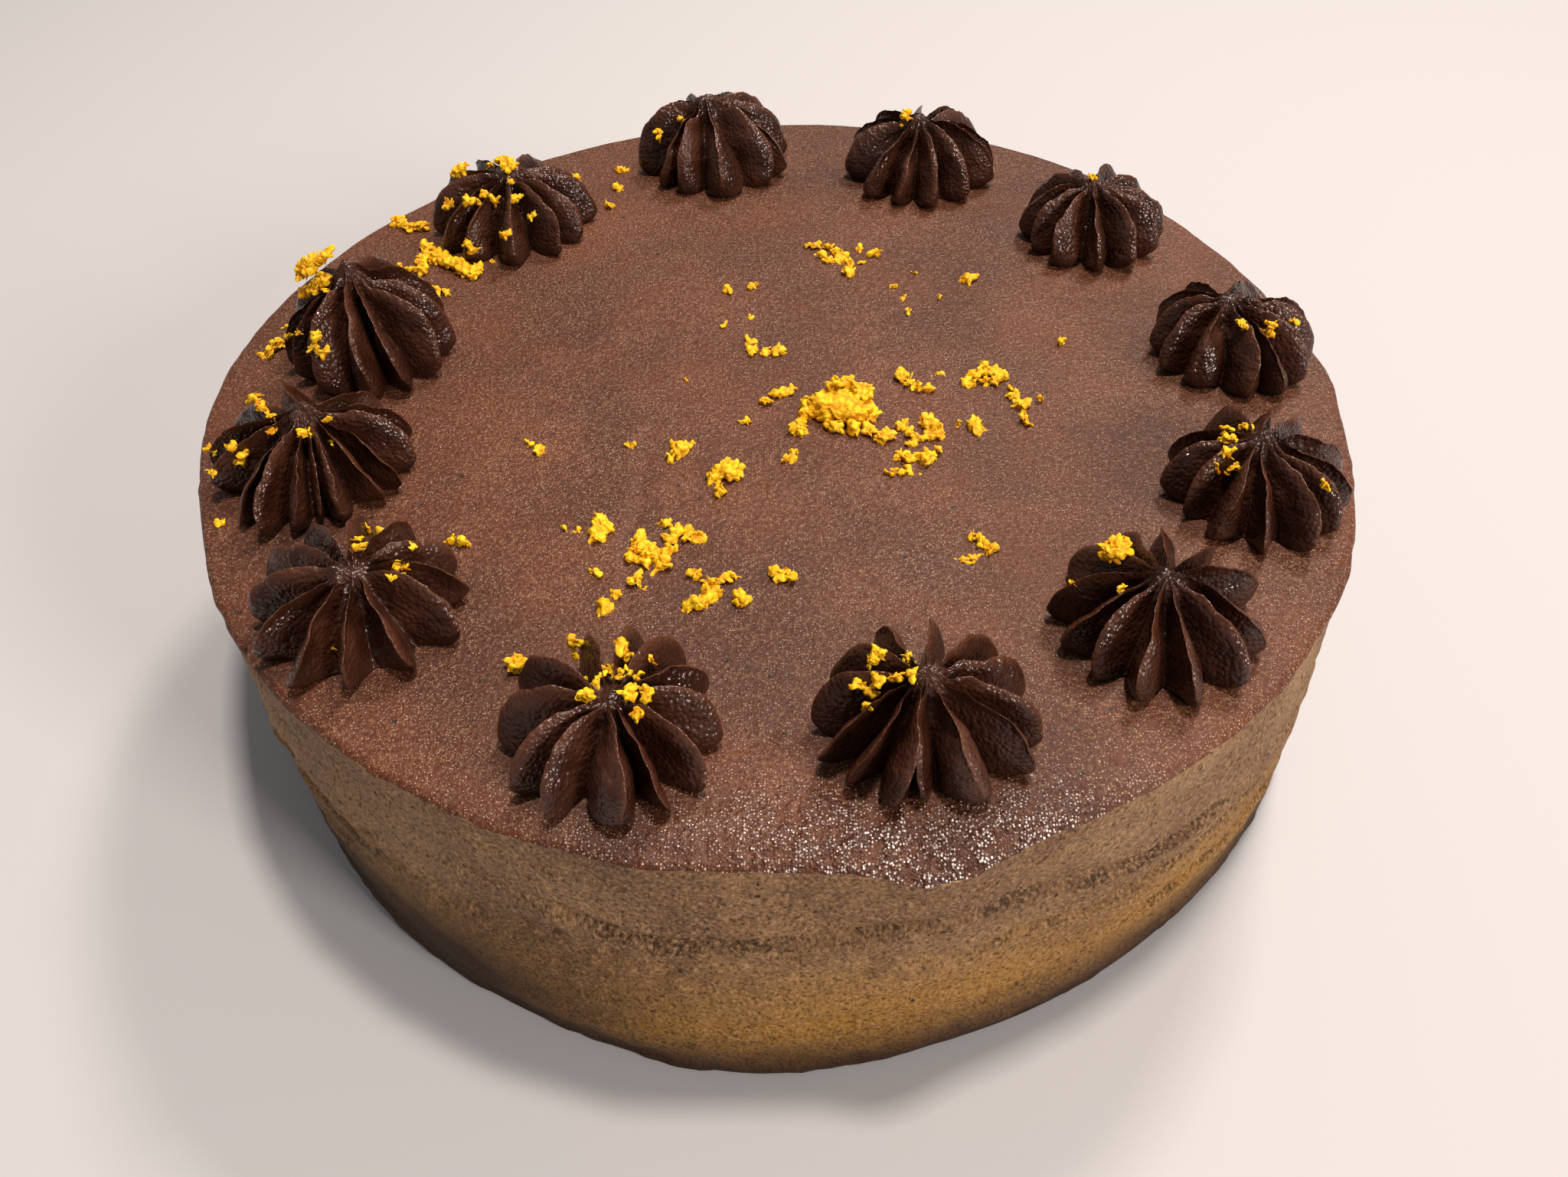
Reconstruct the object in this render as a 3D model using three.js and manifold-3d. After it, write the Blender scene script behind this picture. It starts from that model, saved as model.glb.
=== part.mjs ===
// Chocolate orange cake: a round cake under smooth chocolate frosting, a ring of twelve piped
// chocolate rosettes on top, and grated orange zest scattered over both.
// Millimetres, +Z up. The cake rests on z = 0 and its axis is the Z axis.
import * as THREE from 'three';
import { mergeVertices } from 'three/addons/utils/BufferGeometryUtils.js';
import Module from 'manifold-3d';

const wasm = await Module();
wasm.setup();

// ---- driving dimensions ---------------------------------------------------------------------
const CAKE_RADIUS = 100;
const CAKE_HEIGHT = 58;
const RIM_ROUNDING = 2.4; // the top edge, smoothed by the palette knife
const FOOT_ROUNDING = 0.8;
const SEAT_GAP = 0.3; // between the cake's top and each rosette
const CAKE_SEGMENTS = 90;
const SIDE_RINGS = [0.16, 0.34, 0.52, 0.7, 0.86]; // heights of the rings on the side, as shares
const HAND_WAVE = 0.3; // how far the scraper strays in and out round the side
const SCRAPER_BAND = 0.25; // how far the flat bands that it leaves stand apart

// Places where the frosting stands out of a true circle, or falls short of it: the bearing of
// the middle, the half width in degrees, and how far it stands out.
const RIM_SWELLS = [
  { bearing: 57, spread: 15, out: 1.8 },
  { bearing: 15, spread: 13, out: -1.7 },
  { bearing: -13, spread: 12, out: -1.9 },
  { bearing: -70, spread: 5, out: -0.9 },
  { bearing: -78, spread: 5, out: 1.7 },
  { bearing: -89, spread: 7, out: -1.0 },
  { bearing: 119, spread: 10, out: -1.2 },
  { bearing: 175, spread: 14, out: 1.1 },
  { bearing: -160, spread: 10, out: -0.9 },
];
const FOOT_SWELLS = [
  { bearing: -25, spread: 18, out: 2.4 },
  { bearing: -96, spread: 12, out: 1.6 },
  { bearing: -155, spread: 14, out: -0.9 },
  { bearing: 60, spread: 25, out: 1.0 },
  { bearing: 140, spread: 20, out: 1.2 },
];

// The piped rosettes, clockwise as seen from above from the one at the back. at: the middle on
// the cake's top. width: over the fins. height: of the crests. tip: how far the top leans. pull:
// the peak that the nozzle draws up (below zero, a hollow). gap: how far out the foot of a gap
// lies, as a share of the fin's reach. The rest is for fins that are drawn by chance: how many,
// the bearing of the first, the seed, and how plump they are, from 0, thin blades, to 1, lobes.
const ROSETTES = [
  {
    at: [-13.5, 80.3], width: 33.4, height: 13.6, tip: [-1.5, 0], pull: 2, gap: 0.68,
    fins: 12, turn: 12, seed: 71, full: 0.8,
  },
  {
    at: [31.5, 74.6], width: 33.2, height: 12, tip: [-0.6, 0], pull: 1.2, gap: 0.68,
    fins: 12, turn: 4, seed: 912, full: 0.7,
  },
  {
    at: [64, 47.2], width: 29.4, height: 11.4, tip: [-1.2, 0], pull: 1, gap: 0.66,
    fins: 12, turn: 20, seed: 333, full: 0.7,
  },
  {
    at: [82.4, 6.2], width: 29.8, height: 11, tip: [-3, 0], pull: 1.4, gap: 0.7,
    fins: 12, turn: 20, seed: 5162, full: 0.9,
  },
  {
    at: [76.5, -32.3], width: 29.8, height: 11.2, tip: [-1.8, 0], pull: 1.8, gap: 0.72,
    fins: 12, turn: 20, seed: 2609, full: 0.4,
  },
  {
    at: [54.4, -61], width: 31.2, height: 10.6, tip: [-0.5, 0], pull: 0.8, gap: 0.7,
    fins: 12, turn: 16, seed: 2921, full: 0.4,
  },
  { at: [19.4, -78.4], width: 31, height: 11.4, tip: [-0.8, -1], pull: 1.2, gap: 0.6 },
  { at: [-23, -79.7], width: 31.2, height: 11, tip: [0.6, -0.6], pull: -4.4, gap: 0.62 },
  { at: [-62.4, -56], width: 32.2, height: 10.2, tip: [1, 0.2], pull: -3.2, gap: 0.7 },
  { at: [-76.9, -23.3], width: 32.4, height: 10.6, tip: [0.4, 1.4], pull: 2, gap: 0.66 },
  {
    at: [-74.4, 9.6], width: 30, height: 15.6, tip: [-1, 0.5], pull: 4.2, gap: 0.66,
    fins: 12, turn: 10, seed: 4290, full: 0.6,
  },
  {
    at: [-54.5, 54.6], width: 33.4, height: 11.4, tip: [0, 0], pull: 1, gap: 0.64,
    fins: 12, turn: 5, seed: 508, full: 0.7,
  },
];
// The fins of the rosettes in front, by the rosette's number, counterclockwise: the bearing of the
// toe, how far the crest bows sideways in degrees, how much further than most it reaches, how
// plump it is, and how far toward the next fin the gap after it lies.
const SHAPED_FINS = {
  7: [
    [-178, -6, 0, 0.6, 0.5],
    [-158, 5, 0.05, 0.3, 0.5],
    [-139, 7, 0.02, 0.35, 0.35],
    [-112, 6, -0.01, 0.9, 0.5],
    [-93, -5, -0.02, 0.7, 0.2],
    [-62, -5, -0.03, 0.9, 0.5],
    [-32, -1, 0.05, 0.55, 0.5],
    [-14, 2, 0.03, 0.35, 0.5],
    [19, 2, 0, 0.4, 0.5],
    [45, 2, 0, 0.4, 0.5],
    [76, 6, 0, 0.15, 0.5],
    [113, 0, -0.05, 0.5, 0.5],
    [150, -6, -0.05, 0.6, 0.5],
  ],
  8: [
    [-175, -10, -0.01, 0.5, 0.55],
    [-141, -1, 0, 0.25, 0.7],
    [-116, -5, -0.01, 0.3, 0.35],
    [-84, 6, 0, 1, 0.6],
    [-57, -1, 0, 0.3, 0.55],
    [-39, 6, 0.04, 0.3, 0.55],
    [-6, 5, -0.02, 0.5, 0.5],
    [33, -2, -0.03, 0.35, 0.5],
    [53, 4, 0.04, 0.4, 0.5],
    [76, 5, 0.05, 0.6, 0.5],
    [110, -2, 0, 0.2, 0.5],
    [146, -1, 0.05, 0.4, 0.5],
  ],
  9: [
    [-174, -2, -0.03, 0.35, 0.5],
    [-145, 4, 0.01, 0.2, 0.6],
    [-115, 7, 0.04, 0.2, 0.75],
    [-83, 0, -0.01, 0.3, 0.45],
    [-48, -5, 0.01, 0.25, 0.5],
    [-22, 6, 0.06, 0.25, 0.5],
    [12, -2, 0.01, 0.2, 0.5],
    [35, 0, 0, 0.4, 0.5],
    [72, -4, -0.03, 0.6, 0.5],
    [98, 0, 0.05, 0.4, 0.5],
    [130, -3, 0.06, 0.3, 0.5],
    [158, -3, 0.04, 0.4, 0.5],
  ],
  10: [
    [-166, 8, 0.03, 0.2, 0.5],
    [-122, 3, 0.01, 0.3, 0.45],
    [-104, -1, 0.08, 0.5, 0.5],
    [-88, 4, 0, 1, 0.55],
    [-73, 3, -0.12, 0.2, 0.4],
    [-60, 0, -0.05, 0.9, 0.45],
    [-29, -9, -0.03, 0.4, 0.5],
    [-16, -5, 0.01, 0.35, 0.5],
    [4, 5, 0.04, 0.35, 0.5],
    [29, -1, 0.02, 0.35, 0.5],
    [58, -1, 0.01, 0.4, 0.5],
    [114, 3, 0.15, 0.3, 0.5],
    [156, -6, 0.07, 0.5, 0.5],
    [178, 2, 0.06, 0.3, 0.5],
  ],
};
const FIN_SWING = 8; // degrees that a fin strays from an even spacing
const FIN_REACH = 0.04; // share of the radius by which fins differ
const FIN_RISE = 0.06; // share of the height by which fins differ
const FIN_LEAN = 0.26; // share of a fin's pitch that its crest bows sideways
const FIN_GIRTH = 0.15; // share of the pitch by which a fin is broader or narrower than most
const PLUMP_BY_GIRTH = 1.5; // how much plumper a fin is for being that much broader
const CREST_LEVEL = 0.8; // how level a crest runs before it drops: 1 for a quarter circle
const THIN_FIN = 0.3; // half width of a blade, as a share of the way to the gap
const THICK_FIN = 1.0; // the same of a round lobe
const PLUMP_FROM = 0.35; // where along a fin it begins to swell into its lobe ...
const PLUMP_OVER = 0.55; // ... and over what length
const HUB_GROWTH = 0.11; // share of a fin's length over which it grows out of the hub
const GAP_OUT = 0.62; // the foot of a gap runs outward ...
const GAP_UP = 1.0; // ... and down, as exponents ...
const GAP_TOP = 0.74; // ... from this share of the height at the hub
const PEAK_WIDTH = 0.16; // half width of the pulled peak as a share of the radius
const FIN_STEPS = [-0.5, -0.2, 0, 0.2]; // across a fin, from one gap over the crest
const RING_PLACES = [0, 0.11, 0.28, 0.48, 0.7, 0.88, 1]; // along a fin, from the peak to the toe
const LOOKUP_ACROSS = [-0.5, -0.25, 0, 0.25]; // where on a fin its height is looked up, across ...
const LOOKUP_STEP = 0.05; // ... and along it

// Orange zest. from, to: the first and the last crumb of a scatter. spread: how far the crumbs
// stray from the line between them. count: how many. size: the smallest and the largest. pile:
// the lowest and the highest that they are piled.
const CAKE_ZEST = [
  { from: [10.6, -9], size: [9.8, 9.8] },
  { from: [5.4, -9.6], to: [15.8, -9.2], spread: [0.8, 3.4], count: 12, size: [3, 4.4], pile: [0, 1] },
  { from: [8.6, -7.4], to: [13.4, -8.8], spread: [1, 1.8], count: 7, size: [3, 4], pile: [2.2, 3.4] },
  { from: [10, -6.4], to: [12.2, -6.6], spread: [0.3, 0.4], count: 3, size: [2.8, 3.6], pile: [3.8, 4.8] },
  { from: [6, -8], to: [3.6, -12], spread: [0.4, 0.4], count: 3, size: [2.4, 3.2], pile: [0, 0.4] },
  { from: [3.3, -13.8], size: [3.6, 3.6] },
  { from: [9, -13.9], to: [12, -14.4], spread: [0.4, 0.3], count: 2, size: [2.6, 3.2] },
  { from: [15.3, -15.2], to: [18, -16.6], spread: [0, 0.2], count: 2, size: [2.4, 3.6] },
  { from: [-1.8, -5.8], to: [1.8, -2.6], spread: [0.2, 0.2], count: 3, size: [2, 3.4] },
  { from: [-5.7, -11.3], size: [1.9, 1.9] },
  { from: [-4.4, 9.7], to: [-0.4, 9.1], spread: [0.2, 0.2], count: 3, size: [2, 2.6] },
  { from: [-5.3, 12.3], size: [2.6, 2.6] },
  { from: [1.8, -22.3], to: [2.2, -20.2], spread: [1, 0.5], count: 4, size: [1.4, 2] },
  { from: [22, 0.8], to: [26.2, -3], spread: [0.3, 0.4], count: 4, size: [2.2, 3] },
  { from: [28.3, 1.1], size: [1.5, 1.5] },
  { from: [33.6, -1.6], to: [36.6, 1.6], spread: [0.3, 0.3], count: 3, size: [2.2, 3] },
  { from: [36.8, 2.2], to: [39.6, -0.2], spread: [0.3, 0.4], count: 3, size: [2.4, 3.2] },
  { from: [36.8, -1.2], to: [38.8, -1.6], spread: [0.2, 0.2], count: 2, size: [2, 2.6] },
  { from: [41.2, -3.8], to: [42.4, -13.4], spread: [0.3, 0.3], count: 5, size: [1.4, 2.2] },
  { from: [42.4, -8.8], to: [42, -9.8], spread: [0.5, 0.3], count: 2, size: [2.4, 3] },
  { from: [46.3, -7.5], size: [1.6, 1.6] },
  { from: [34, -12.6], to: [34.2, -15], spread: [0.2, 0.2], count: 2, size: [2.2, 2.8] },
  { from: [30.8, -13.3], to: [32.8, -14], spread: [0.2, 0.2], count: 2, size: [1.4, 1.9] },
  { from: [25.2, -12.6], to: [26.2, -16.2], spread: [0.6, 0.3], count: 3, size: [2.6, 3.4] },
  { from: [20.8, -13.2], to: [23.4, -17.4], spread: [0.2, 0.2], count: 3, size: [1.8, 2.6] },
  { from: [20.8, -21.8], to: [24.6, -22.2], spread: [0.4, 0.6], count: 4, size: [2.4, 3.2] },
  { from: [22.2, -18.8], size: [1.8, 1.8] },
  { from: [18.4, -25.6], to: [22, -25.2], spread: [0.1, 0.2], count: 3, size: [1.7, 2.2] },
  { from: [23.5, -25.3], to: [26.2, -20.4], count: 2, size: [1.2, 2] },
  { from: [52.3, 10.5], size: [2.2, 2.2] },
  { from: [-24.8, -17.5], size: [1.6, 1.6] },
  { from: [-17, -18.4], size: [4, 4] },
  { from: [-18.8, -20.6], to: [-15.2, -16.8], spread: [0.2, 0.2], count: 2, size: [1.6, 2.2] },
  { from: [-10.4, -25.6], to: [-7.4, -25.8], spread: [0.6, 1.4], count: 4, size: [3.2, 4.4] },
  { from: [-9.9, -29.5], size: [2.6, 2.6] },
  { from: [-28.6, -40], to: [-28, -37.8], spread: [0.3, 0.2], count: 2, size: [3, 3.8] },
  { from: [-34, -38], to: [-30.4, -38.9], spread: [0.2, 0.2], count: 3, size: [0.9, 1.4] },
  { from: [-18, -37.2], to: [-12.8, -41.2], spread: [0.4, 0.4], count: 4, size: [2.4, 3.2] },
  { from: [-17.4, -40.6], to: [-16.6, -43], spread: [0.4, 0.2], count: 2, size: [2.4, 3] },
  { from: [-22, -42], to: [-18.2, -44.4], spread: [0.3, 0.4], count: 3, size: [3, 3.8] },
  { from: [-23, -44.8], to: [-18.8, -47], spread: [0.4, 0.4], count: 3, size: [2.2, 3] },
  { from: [-22.2, -48.9], size: [3.2, 3.2] },
  { from: [-21.2, -50.2], to: [-20.4, -51.2], count: 2, size: [1, 1.4] },
  { from: [-28.3, -47.6], size: [2, 2] },
  { from: [-24.9, -53.1], to: [-26.5, -55.6], count: 2, size: [2, 2.6] },
  { from: [-13, -48.8], size: [2.4, 2.4] },
  { from: [-10.4, -50.2], to: [-7.2, -48.8], spread: [0.1, 0.2], count: 3, size: [1.6, 2.3] },
  { from: [-13, -55.2], to: [-10.2, -52.2], spread: [0.4, 0.4], count: 4, size: [2.4, 3.4] },
  { from: [-5.8, -53.9], size: [3, 3] },
  { from: [-0.5, -49.6], to: [1.3, -50], count: 2, size: [1.4, 2.8] },
  { from: [-42.5, -17], to: [-40.2, -18.4], spread: [0.1, 0.1], count: 2, size: [2, 2.6] },
  { from: [-4.8, 30.3], to: [-9.9, 28.9], count: 2, size: [1.6, 2.4] },
  { from: [-4.8, 20.6], to: [-10.4, 18], count: 2, size: [1.2, 1.4] },
  { from: [-16.6, 0.6], size: [1.2, 1.2] },
  { from: [29.6, -40.4], to: [33.2, -44.2], spread: [0.3, 0.3], count: 4, size: [1.8, 2.8] },
  { from: [30.4, -45.2], to: [32.6, -43.4], spread: [0.2, 0.2], count: 2, size: [1.4, 1.9] },
  { from: [28.2, -46.2], to: [30.4, -45.8], spread: [0.1, 0.1], count: 2, size: [1.8, 2.2] },
  { from: [7.6, 44.6], to: [9, 41.4], spread: [0.2, 0.3], count: 2, size: [2.2, 2.6] },
  { from: [10.2, 39.8], to: [14.4, 38.8], spread: [0.3, 0.6], count: 3, size: [2.4, 2.9] },
  { from: [10.4, 44.2], to: [12.6, 41.4], spread: [0.3, 0.4], count: 3, size: [1.9, 2.5] },
  { from: [14, 40.8], to: [16.8, 43.4], spread: [0.3, 0.3], count: 2, size: [2, 2.6] },
  { from: [13.9, 35.2], size: [2.8, 2.8] },
  { from: [19.6, 41.6], size: [2.9, 2.9] },
  { from: [6, 45], to: [16.9, 38.6], count: 2, size: [1.1, 1.4] },
  { from: [22.7, 29.4], to: [24.4, 19.9], spread: [1, 1], count: 3, size: [1, 1.5] },
  { from: [27.1, 35], to: [30.9, 25.3], count: 2, size: [0.9, 1.3] },
  { from: [37.6, 31.9], size: [2.8, 2.8] },
  { from: [-52.2, -40.2], to: [-49.6, -40.8], count: 2, size: [1.8, 2.4] },
  { from: [-90, -35.6], size: [2, 2] },
  { from: [-37.6, -66.7], size: [3.2, 3.2] },
  { from: [-71.8, 46], to: [-70.6, 37.2], spread: [0.4, 0.4], count: 4, size: [3, 3.8] },
  { from: [-68.2, 40.4], to: [-60.4, 35.8], spread: [0.4, 0.8], count: 5, size: [3.6, 4.8] },
  { from: [-75.8, 38.8], to: [-73.4, 38.2], spread: [0.1, 0.1], count: 2, size: [1.8, 2.4] },
  { from: [-80, 56], to: [-73.6, 54.4], spread: [0.5, 1.2], count: 4, size: [3, 3.8] },
  { from: [-44.4, 72], size: [3.8, 3.8] },
  { from: [-34.2, 77.6], to: [-33.9, 69.4], count: 2, size: [2.4, 3.2] },
  { from: [-35.9, 62.3], size: [2.2, 2.2] },
  { from: [-66.4, 30], size: [2, 2] },
  { from: [-64.6, 29.2], size: [2, 2] },
  { from: [-94.3, 11.1], to: [-93.2, 12.4], spread: [0.3, 0.3], count: 2, size: [2.6, 3.2], pile: [0, 0.4] },
  { from: [-95.2, 10.2], size: [2.2, 2.2] },
  { from: [-63.9, -38.4], to: [-62.2, -37.4], spread: [0.2, 0.1], count: 3, size: [1.2, 1.7] },
];
// Zest on the rosettes: which rosette, counted from 1, and places measured from its middle.
const ROSETTE_ZEST = [
  { on: 1, from: [-6.5, -2.6], spread: [0.5, 0.5], count: 2, size: [1.5, 1.8], pile: [0, 0.6] },
  { on: 1, from: [-11.3, -4.1], spread: [0.5, 0.5], count: 2, size: [1.5, 1.8], pile: [0, 0.6] },
  { on: 2, from: [-3.9, -0.1], spread: [1, 1], count: 4, size: [2.1, 3.4], pile: [0, 1.1] },
  { on: 3, from: [-1.3, 0.3], spread: [0.6, 0.6], count: 2, size: [1.5, 2.1], pile: [0, 0.7] },
  { on: 4, from: [-1.8, -6.7], size: [2.2, 2.2] },
  { on: 4, from: [3.3, -6.3], spread: [0.7, 0.7], count: 2, size: [1.5, 2.4], pile: [0, 0.8] },
  { on: 4, from: [8.6, -2.6], size: [1.6, 1.6] },
  { on: 5, from: [-6.1, 3], spread: [0.7, 0.7], count: 2, size: [1.6, 2.5], pile: [0, 0.8] },
  { on: 5, from: [-2.9, 3.8], size: [2, 2] },
  { on: 5, from: [-6.2, 0.2], spread: [0.7, 0.7], count: 2, size: [1.7, 2.6], pile: [0, 0.9] },
  { on: 5, from: [-7.2, -2.8], size: [1.9, 1.9] },
  { on: 5, from: [-8.5, -3.8], size: [1.4, 1.4] },
  { on: 5, from: [-5.5, -2.9], size: [1.7, 1.7] },
  { on: 5, from: [-6.9, -3.5], size: [1.2, 1.2] },
  { on: 5, from: [7.4, -8], size: [1.4, 1.4] },
  { on: 6, from: [-6.4, 6.9], spread: [1.3, 1.3], count: 6, size: [2.6, 3.6], pile: [0, 1.4] },
  { on: 6, from: [-12.6, 1.5], size: [1.3, 1.3] },
  { on: 6, from: [-7, -2.3], size: [1.3, 1.3] },
  { on: 7, from: [-6, 3.3], spread: [0.5, 0.5], count: 2, size: [1.5, 1.8], pile: [0, 0.6] },
  { on: 7, from: [-7.2, 3], size: [2.1, 2.1] },
  { on: 7, from: [-2.7, 2.9], spread: [0.5, 0.5], count: 2, size: [1.5, 2], pile: [0, 0.7] },
  { on: 7, from: [-2.8, -1], size: [1.8, 1.8] },
  { on: 7, from: [-6.9, -0.6], size: [2.4, 2.4] },
  { on: 7, from: [-4.6, -0.9], size: [2.4, 2.4] },
  { on: 7, from: [-9.5, -0.8], size: [2, 2] },
  { on: 7, from: [-7.7, -1.3], size: [2, 2] },
  { on: 7, from: [-8.6, -4.4], size: [1.6, 1.6] },
  { on: 8, from: [-0.6, 5.9], spread: [0.6, 0.6], count: 2, size: [1.5, 2.1], pile: [0, 0.7] },
  { on: 8, from: [1.9, 6.4], spread: [0.8, 0.8], count: 2, size: [1.8, 2.8], pile: [0, 0.9] },
  { on: 8, from: [3.3, 3.3], spread: [0.6, 0.6], count: 2, size: [1.5, 2.2], pile: [0, 0.7] },
  { on: 8, from: [1.3, 3.6], spread: [0.6, 0.6], count: 2, size: [1.5, 2.2], pile: [0, 0.7] },
  { on: 8, from: [-3.4, 6], size: [1, 1] },
  { on: 8, from: [-2.6, -0.5], spread: [0.6, 0.6], count: 2, size: [1.5, 2.1], pile: [0, 0.7] },
  { on: 8, from: [-1, 2.3], size: [2, 2] },
  { on: 8, from: [3.4, -0.7], size: [2.4, 2.4] },
  { on: 8, from: [5.6, -1], spread: [0.6, 0.6], count: 2, size: [1.5, 2], pile: [0, 0.7] },
  { on: 8, from: [4.4, -3.9], size: [2.4, 2.4] },
  { on: 8, from: [-5.5, 11.8], size: [1.9, 1.9] },
  { on: 8, from: [-5.5, 10.5], size: [1.9, 1.9] },
  { on: 8, from: [5.6, 6.6], size: [1.2, 1.2] },
  { on: 9, from: [0.4, 6.2], size: [1.1, 1.1] },
  { on: 9, from: [0.8, 4.5], size: [1.4, 1.4] },
  { on: 9, from: [-0.6, 13.9], size: [1.1, 1.1] },
  { on: 9, from: [8.3, 4.9], size: [1.1, 1.1] },
  { on: 9, from: [7.8, 1.1], size: [1.8, 1.8] },
  { on: 9, from: [7.2, -1.9], size: [1.1, 1.1] },
  { on: 9, from: [7.9, 0.6], size: [1.3, 1.3] },
  { on: 9, from: [-0.8, -10], size: [0.8, 0.8] },
  { on: 10, from: [-7.3, 4.4], size: [2, 2] },
  { on: 10, from: [-5.2, 1.1], size: [2, 2] },
  { on: 10, from: [-4.2, -1.1], size: [1.7, 1.7] },
  { on: 10, from: [1.4, -3.2], size: [2.2, 2.2] },
  { on: 10, from: [4.4, -0.2], size: [1.3, 1.3] },
  { on: 10, from: [5.7, -3.8], size: [0.9, 0.9] },
  { on: 10, from: [-16, 0.1], size: [2, 2] },
  { on: 10, from: [-15.4, -0.5], size: [1.2, 1.2] },
  { on: 10, from: [-10.4, -4.6], size: [2, 2] },
  { on: 10, from: [-8.5, -4.4], size: [2.4, 2.4] },
  { on: 10, from: [-10, -5.2], size: [1.9, 1.9] },
  { on: 10, from: [-14.4, -5.9], size: [1.7, 1.7] },
  { on: 10, from: [-9.8, 7], to: [-8.4, 5.6], count: 2, size: [1.6, 2], pile: [0.8, 1.4] },
  { on: 10, from: [-5.3, 5.1], size: [1.8, 1.8] },
  { on: 10, from: [-10.6, 1.8], size: [1.2, 1.2] },
  { on: 11, from: [-8.5, 1.1], to: [-4.7, 0.6], spread: [0.5, 0.8], count: 4, size: [3, 3.8], pile: [2.6, 4.2] },
  { on: 11, from: [-8.8, 1], to: [-5.4, 1.2], spread: [0.4, 0.8], count: 3, size: [3.2, 3.8], pile: [0.4, 1.6] },
  { on: 11, from: [-4, -2.4], size: [1.1, 1.1] },
  { on: 11, from: [-12.8, -4], size: [1.4, 1.4] },
  { on: 11, from: [-12.7, -4.9], size: [1.6, 1.6] },
  { on: 11, from: [-4.8, -11.3], spread: [0.7, 0.7], count: 2, size: [1.5, 2.4], pile: [0, 0.8] },
  { on: 11, from: [-5.7, -11.8], spread: [0.5, 0.5], count: 2, size: [1.5, 1.8], pile: [0, 0.6] },
  { on: 11, from: [-8.9, -8.1], size: [1.6, 1.6] },
  { on: 11, from: [-4.3, -11.3], size: [2.1, 2.1] },
  { on: 12, from: [-10.8, 4.3], spread: [1, 1], count: 4, size: [2.2, 3.4], pile: [0, 1.1] },
  { on: 12, from: [-3.6, 4.3], spread: [0.5, 0.5], count: 2, size: [1.5, 1.7], pile: [0, 0.6] },
  { on: 12, from: [0.3, 1.2], spread: [1, 1], count: 4, size: [2.2, 3.5], pile: [0, 1.2] },
  { on: 12, from: [1.3, -2.9], spread: [0.6, 0.6], count: 2, size: [1.5, 2.1], pile: [0, 0.7] },
  { on: 12, from: [-4.4, -5.9], spread: [0.7, 0.7], count: 2, size: [1.6, 2.5], pile: [0, 0.8] },
  { on: 12, from: [-12.5, -3.8], size: [2.5, 2.5] },
  { on: 12, from: [-6.9, -7.7], size: [2.5, 2.5] },
  { on: 12, from: [-2.2, -6.8], size: [2.5, 2.5] },
  { on: 12, from: [-6.9, -15], spread: [0.9, 0.9], count: 3, size: [2, 3.2], pile: [0, 1.1] },
  { on: 12, from: [1.4, -15.7], size: [2.4, 2.4] },
  { on: 12, from: [5.2, -8.7], size: [1.8, 1.8] },
  { on: 12, from: [2.3, -8], size: [2.5, 2.5] },
  { on: 12, from: [-2.4, -14.6], size: [1.5, 1.5] },
  { on: 12, from: [-1.1, 2.2], spread: [0.3, 0.3], count: 2, size: [2.4, 2.8], pile: [0.8, 1.8] },
];
const ZEST_SEED = 20;
const CRUMB_SUNK = 0.28; // share of a crumb's height that is under the surface
const CRUMB_REST = 0.42; // share of its size from its middle at which a crumb rests on a crest
const RESTS_HIGH = 0.8; // how far its height is that of the crests round it, not of what is under it
const CRUMB_LENGTH = [0.9, 1.25]; // shares of a crumb's size
const CRUMB_WIDTH = 0.86;
const CRUMB_HEIGHT = 0.62;
const CRUMB_UNEVENNESS = 0.18; // share by which a corner of a crumb stands in or out
const LOWEST_CRUMB = 0.65; // heights of a crumb that its middle stays above its node's foot
const LARGE_CRUMB = 4.4; // from this size up a crumb has twenty faces instead of eight
const SMALLEST_CRUMB = 2; // smaller ones are left out of the solids

// ---- small helpers --------------------------------------------------------------------------
const degrees = (value) => value * Math.PI / 180;
const mix = (a, b, share) => a + (b - a) * share;

function smoothStep(value) {
  const t = Math.min(Math.max(value, 0), 1);
  return t * t * (3 - 2 * t);
}

// Repeatable draws: the same seed gives the same numbers every time.
class Draws {
  constructor(seed) {
    this.state = seed;
    this.next();
    this.next();
  }

  next() {
    this.state = (this.state * 1664525 + 1013904223) % 4294967296;
    return this.state / 4294967296;
  }

  around(halfWidth) {
    return (this.next() * 2 - 1) * halfWidth;
  }
}

// Merge shared corners and drop the triangles that have collapsed at the poles.
function weld(geometry) {
  geometry.deleteAttribute('normal');
  geometry.deleteAttribute('uv');
  const merged = mergeVertices(geometry, 1e-4);
  const corners = merged.index.array;
  const kept = [];
  for (let i = 0; i < corners.length; i += 3) {
    const [a, b, c] = [corners[i], corners[i + 1], corners[i + 2]];
    if (a !== b && b !== c && a !== c) {
      kept.push(a, b, c);
    }
  }
  merged.setIndex(kept);
  return merged;
}

function toSolid(geometry) {
  const welded = weld(geometry);
  return new wasm.Manifold(new wasm.Mesh({
    numProp: 3,
    vertProperties: new Float32Array(welded.attributes.position.array),
    triVerts: new Uint32Array(welded.index.array),
  }));
}

function toGeometry(solid) {
  const mesh = solid.getMesh();
  const geometry = new THREE.BufferGeometry();
  geometry.setAttribute('position', new THREE.BufferAttribute(new Float32Array(mesh.vertProperties), 3));
  geometry.setIndex(new THREE.BufferAttribute(new Uint32Array(mesh.triVerts), 1));
  geometry.computeVertexNormals();
  return geometry;
}

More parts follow.
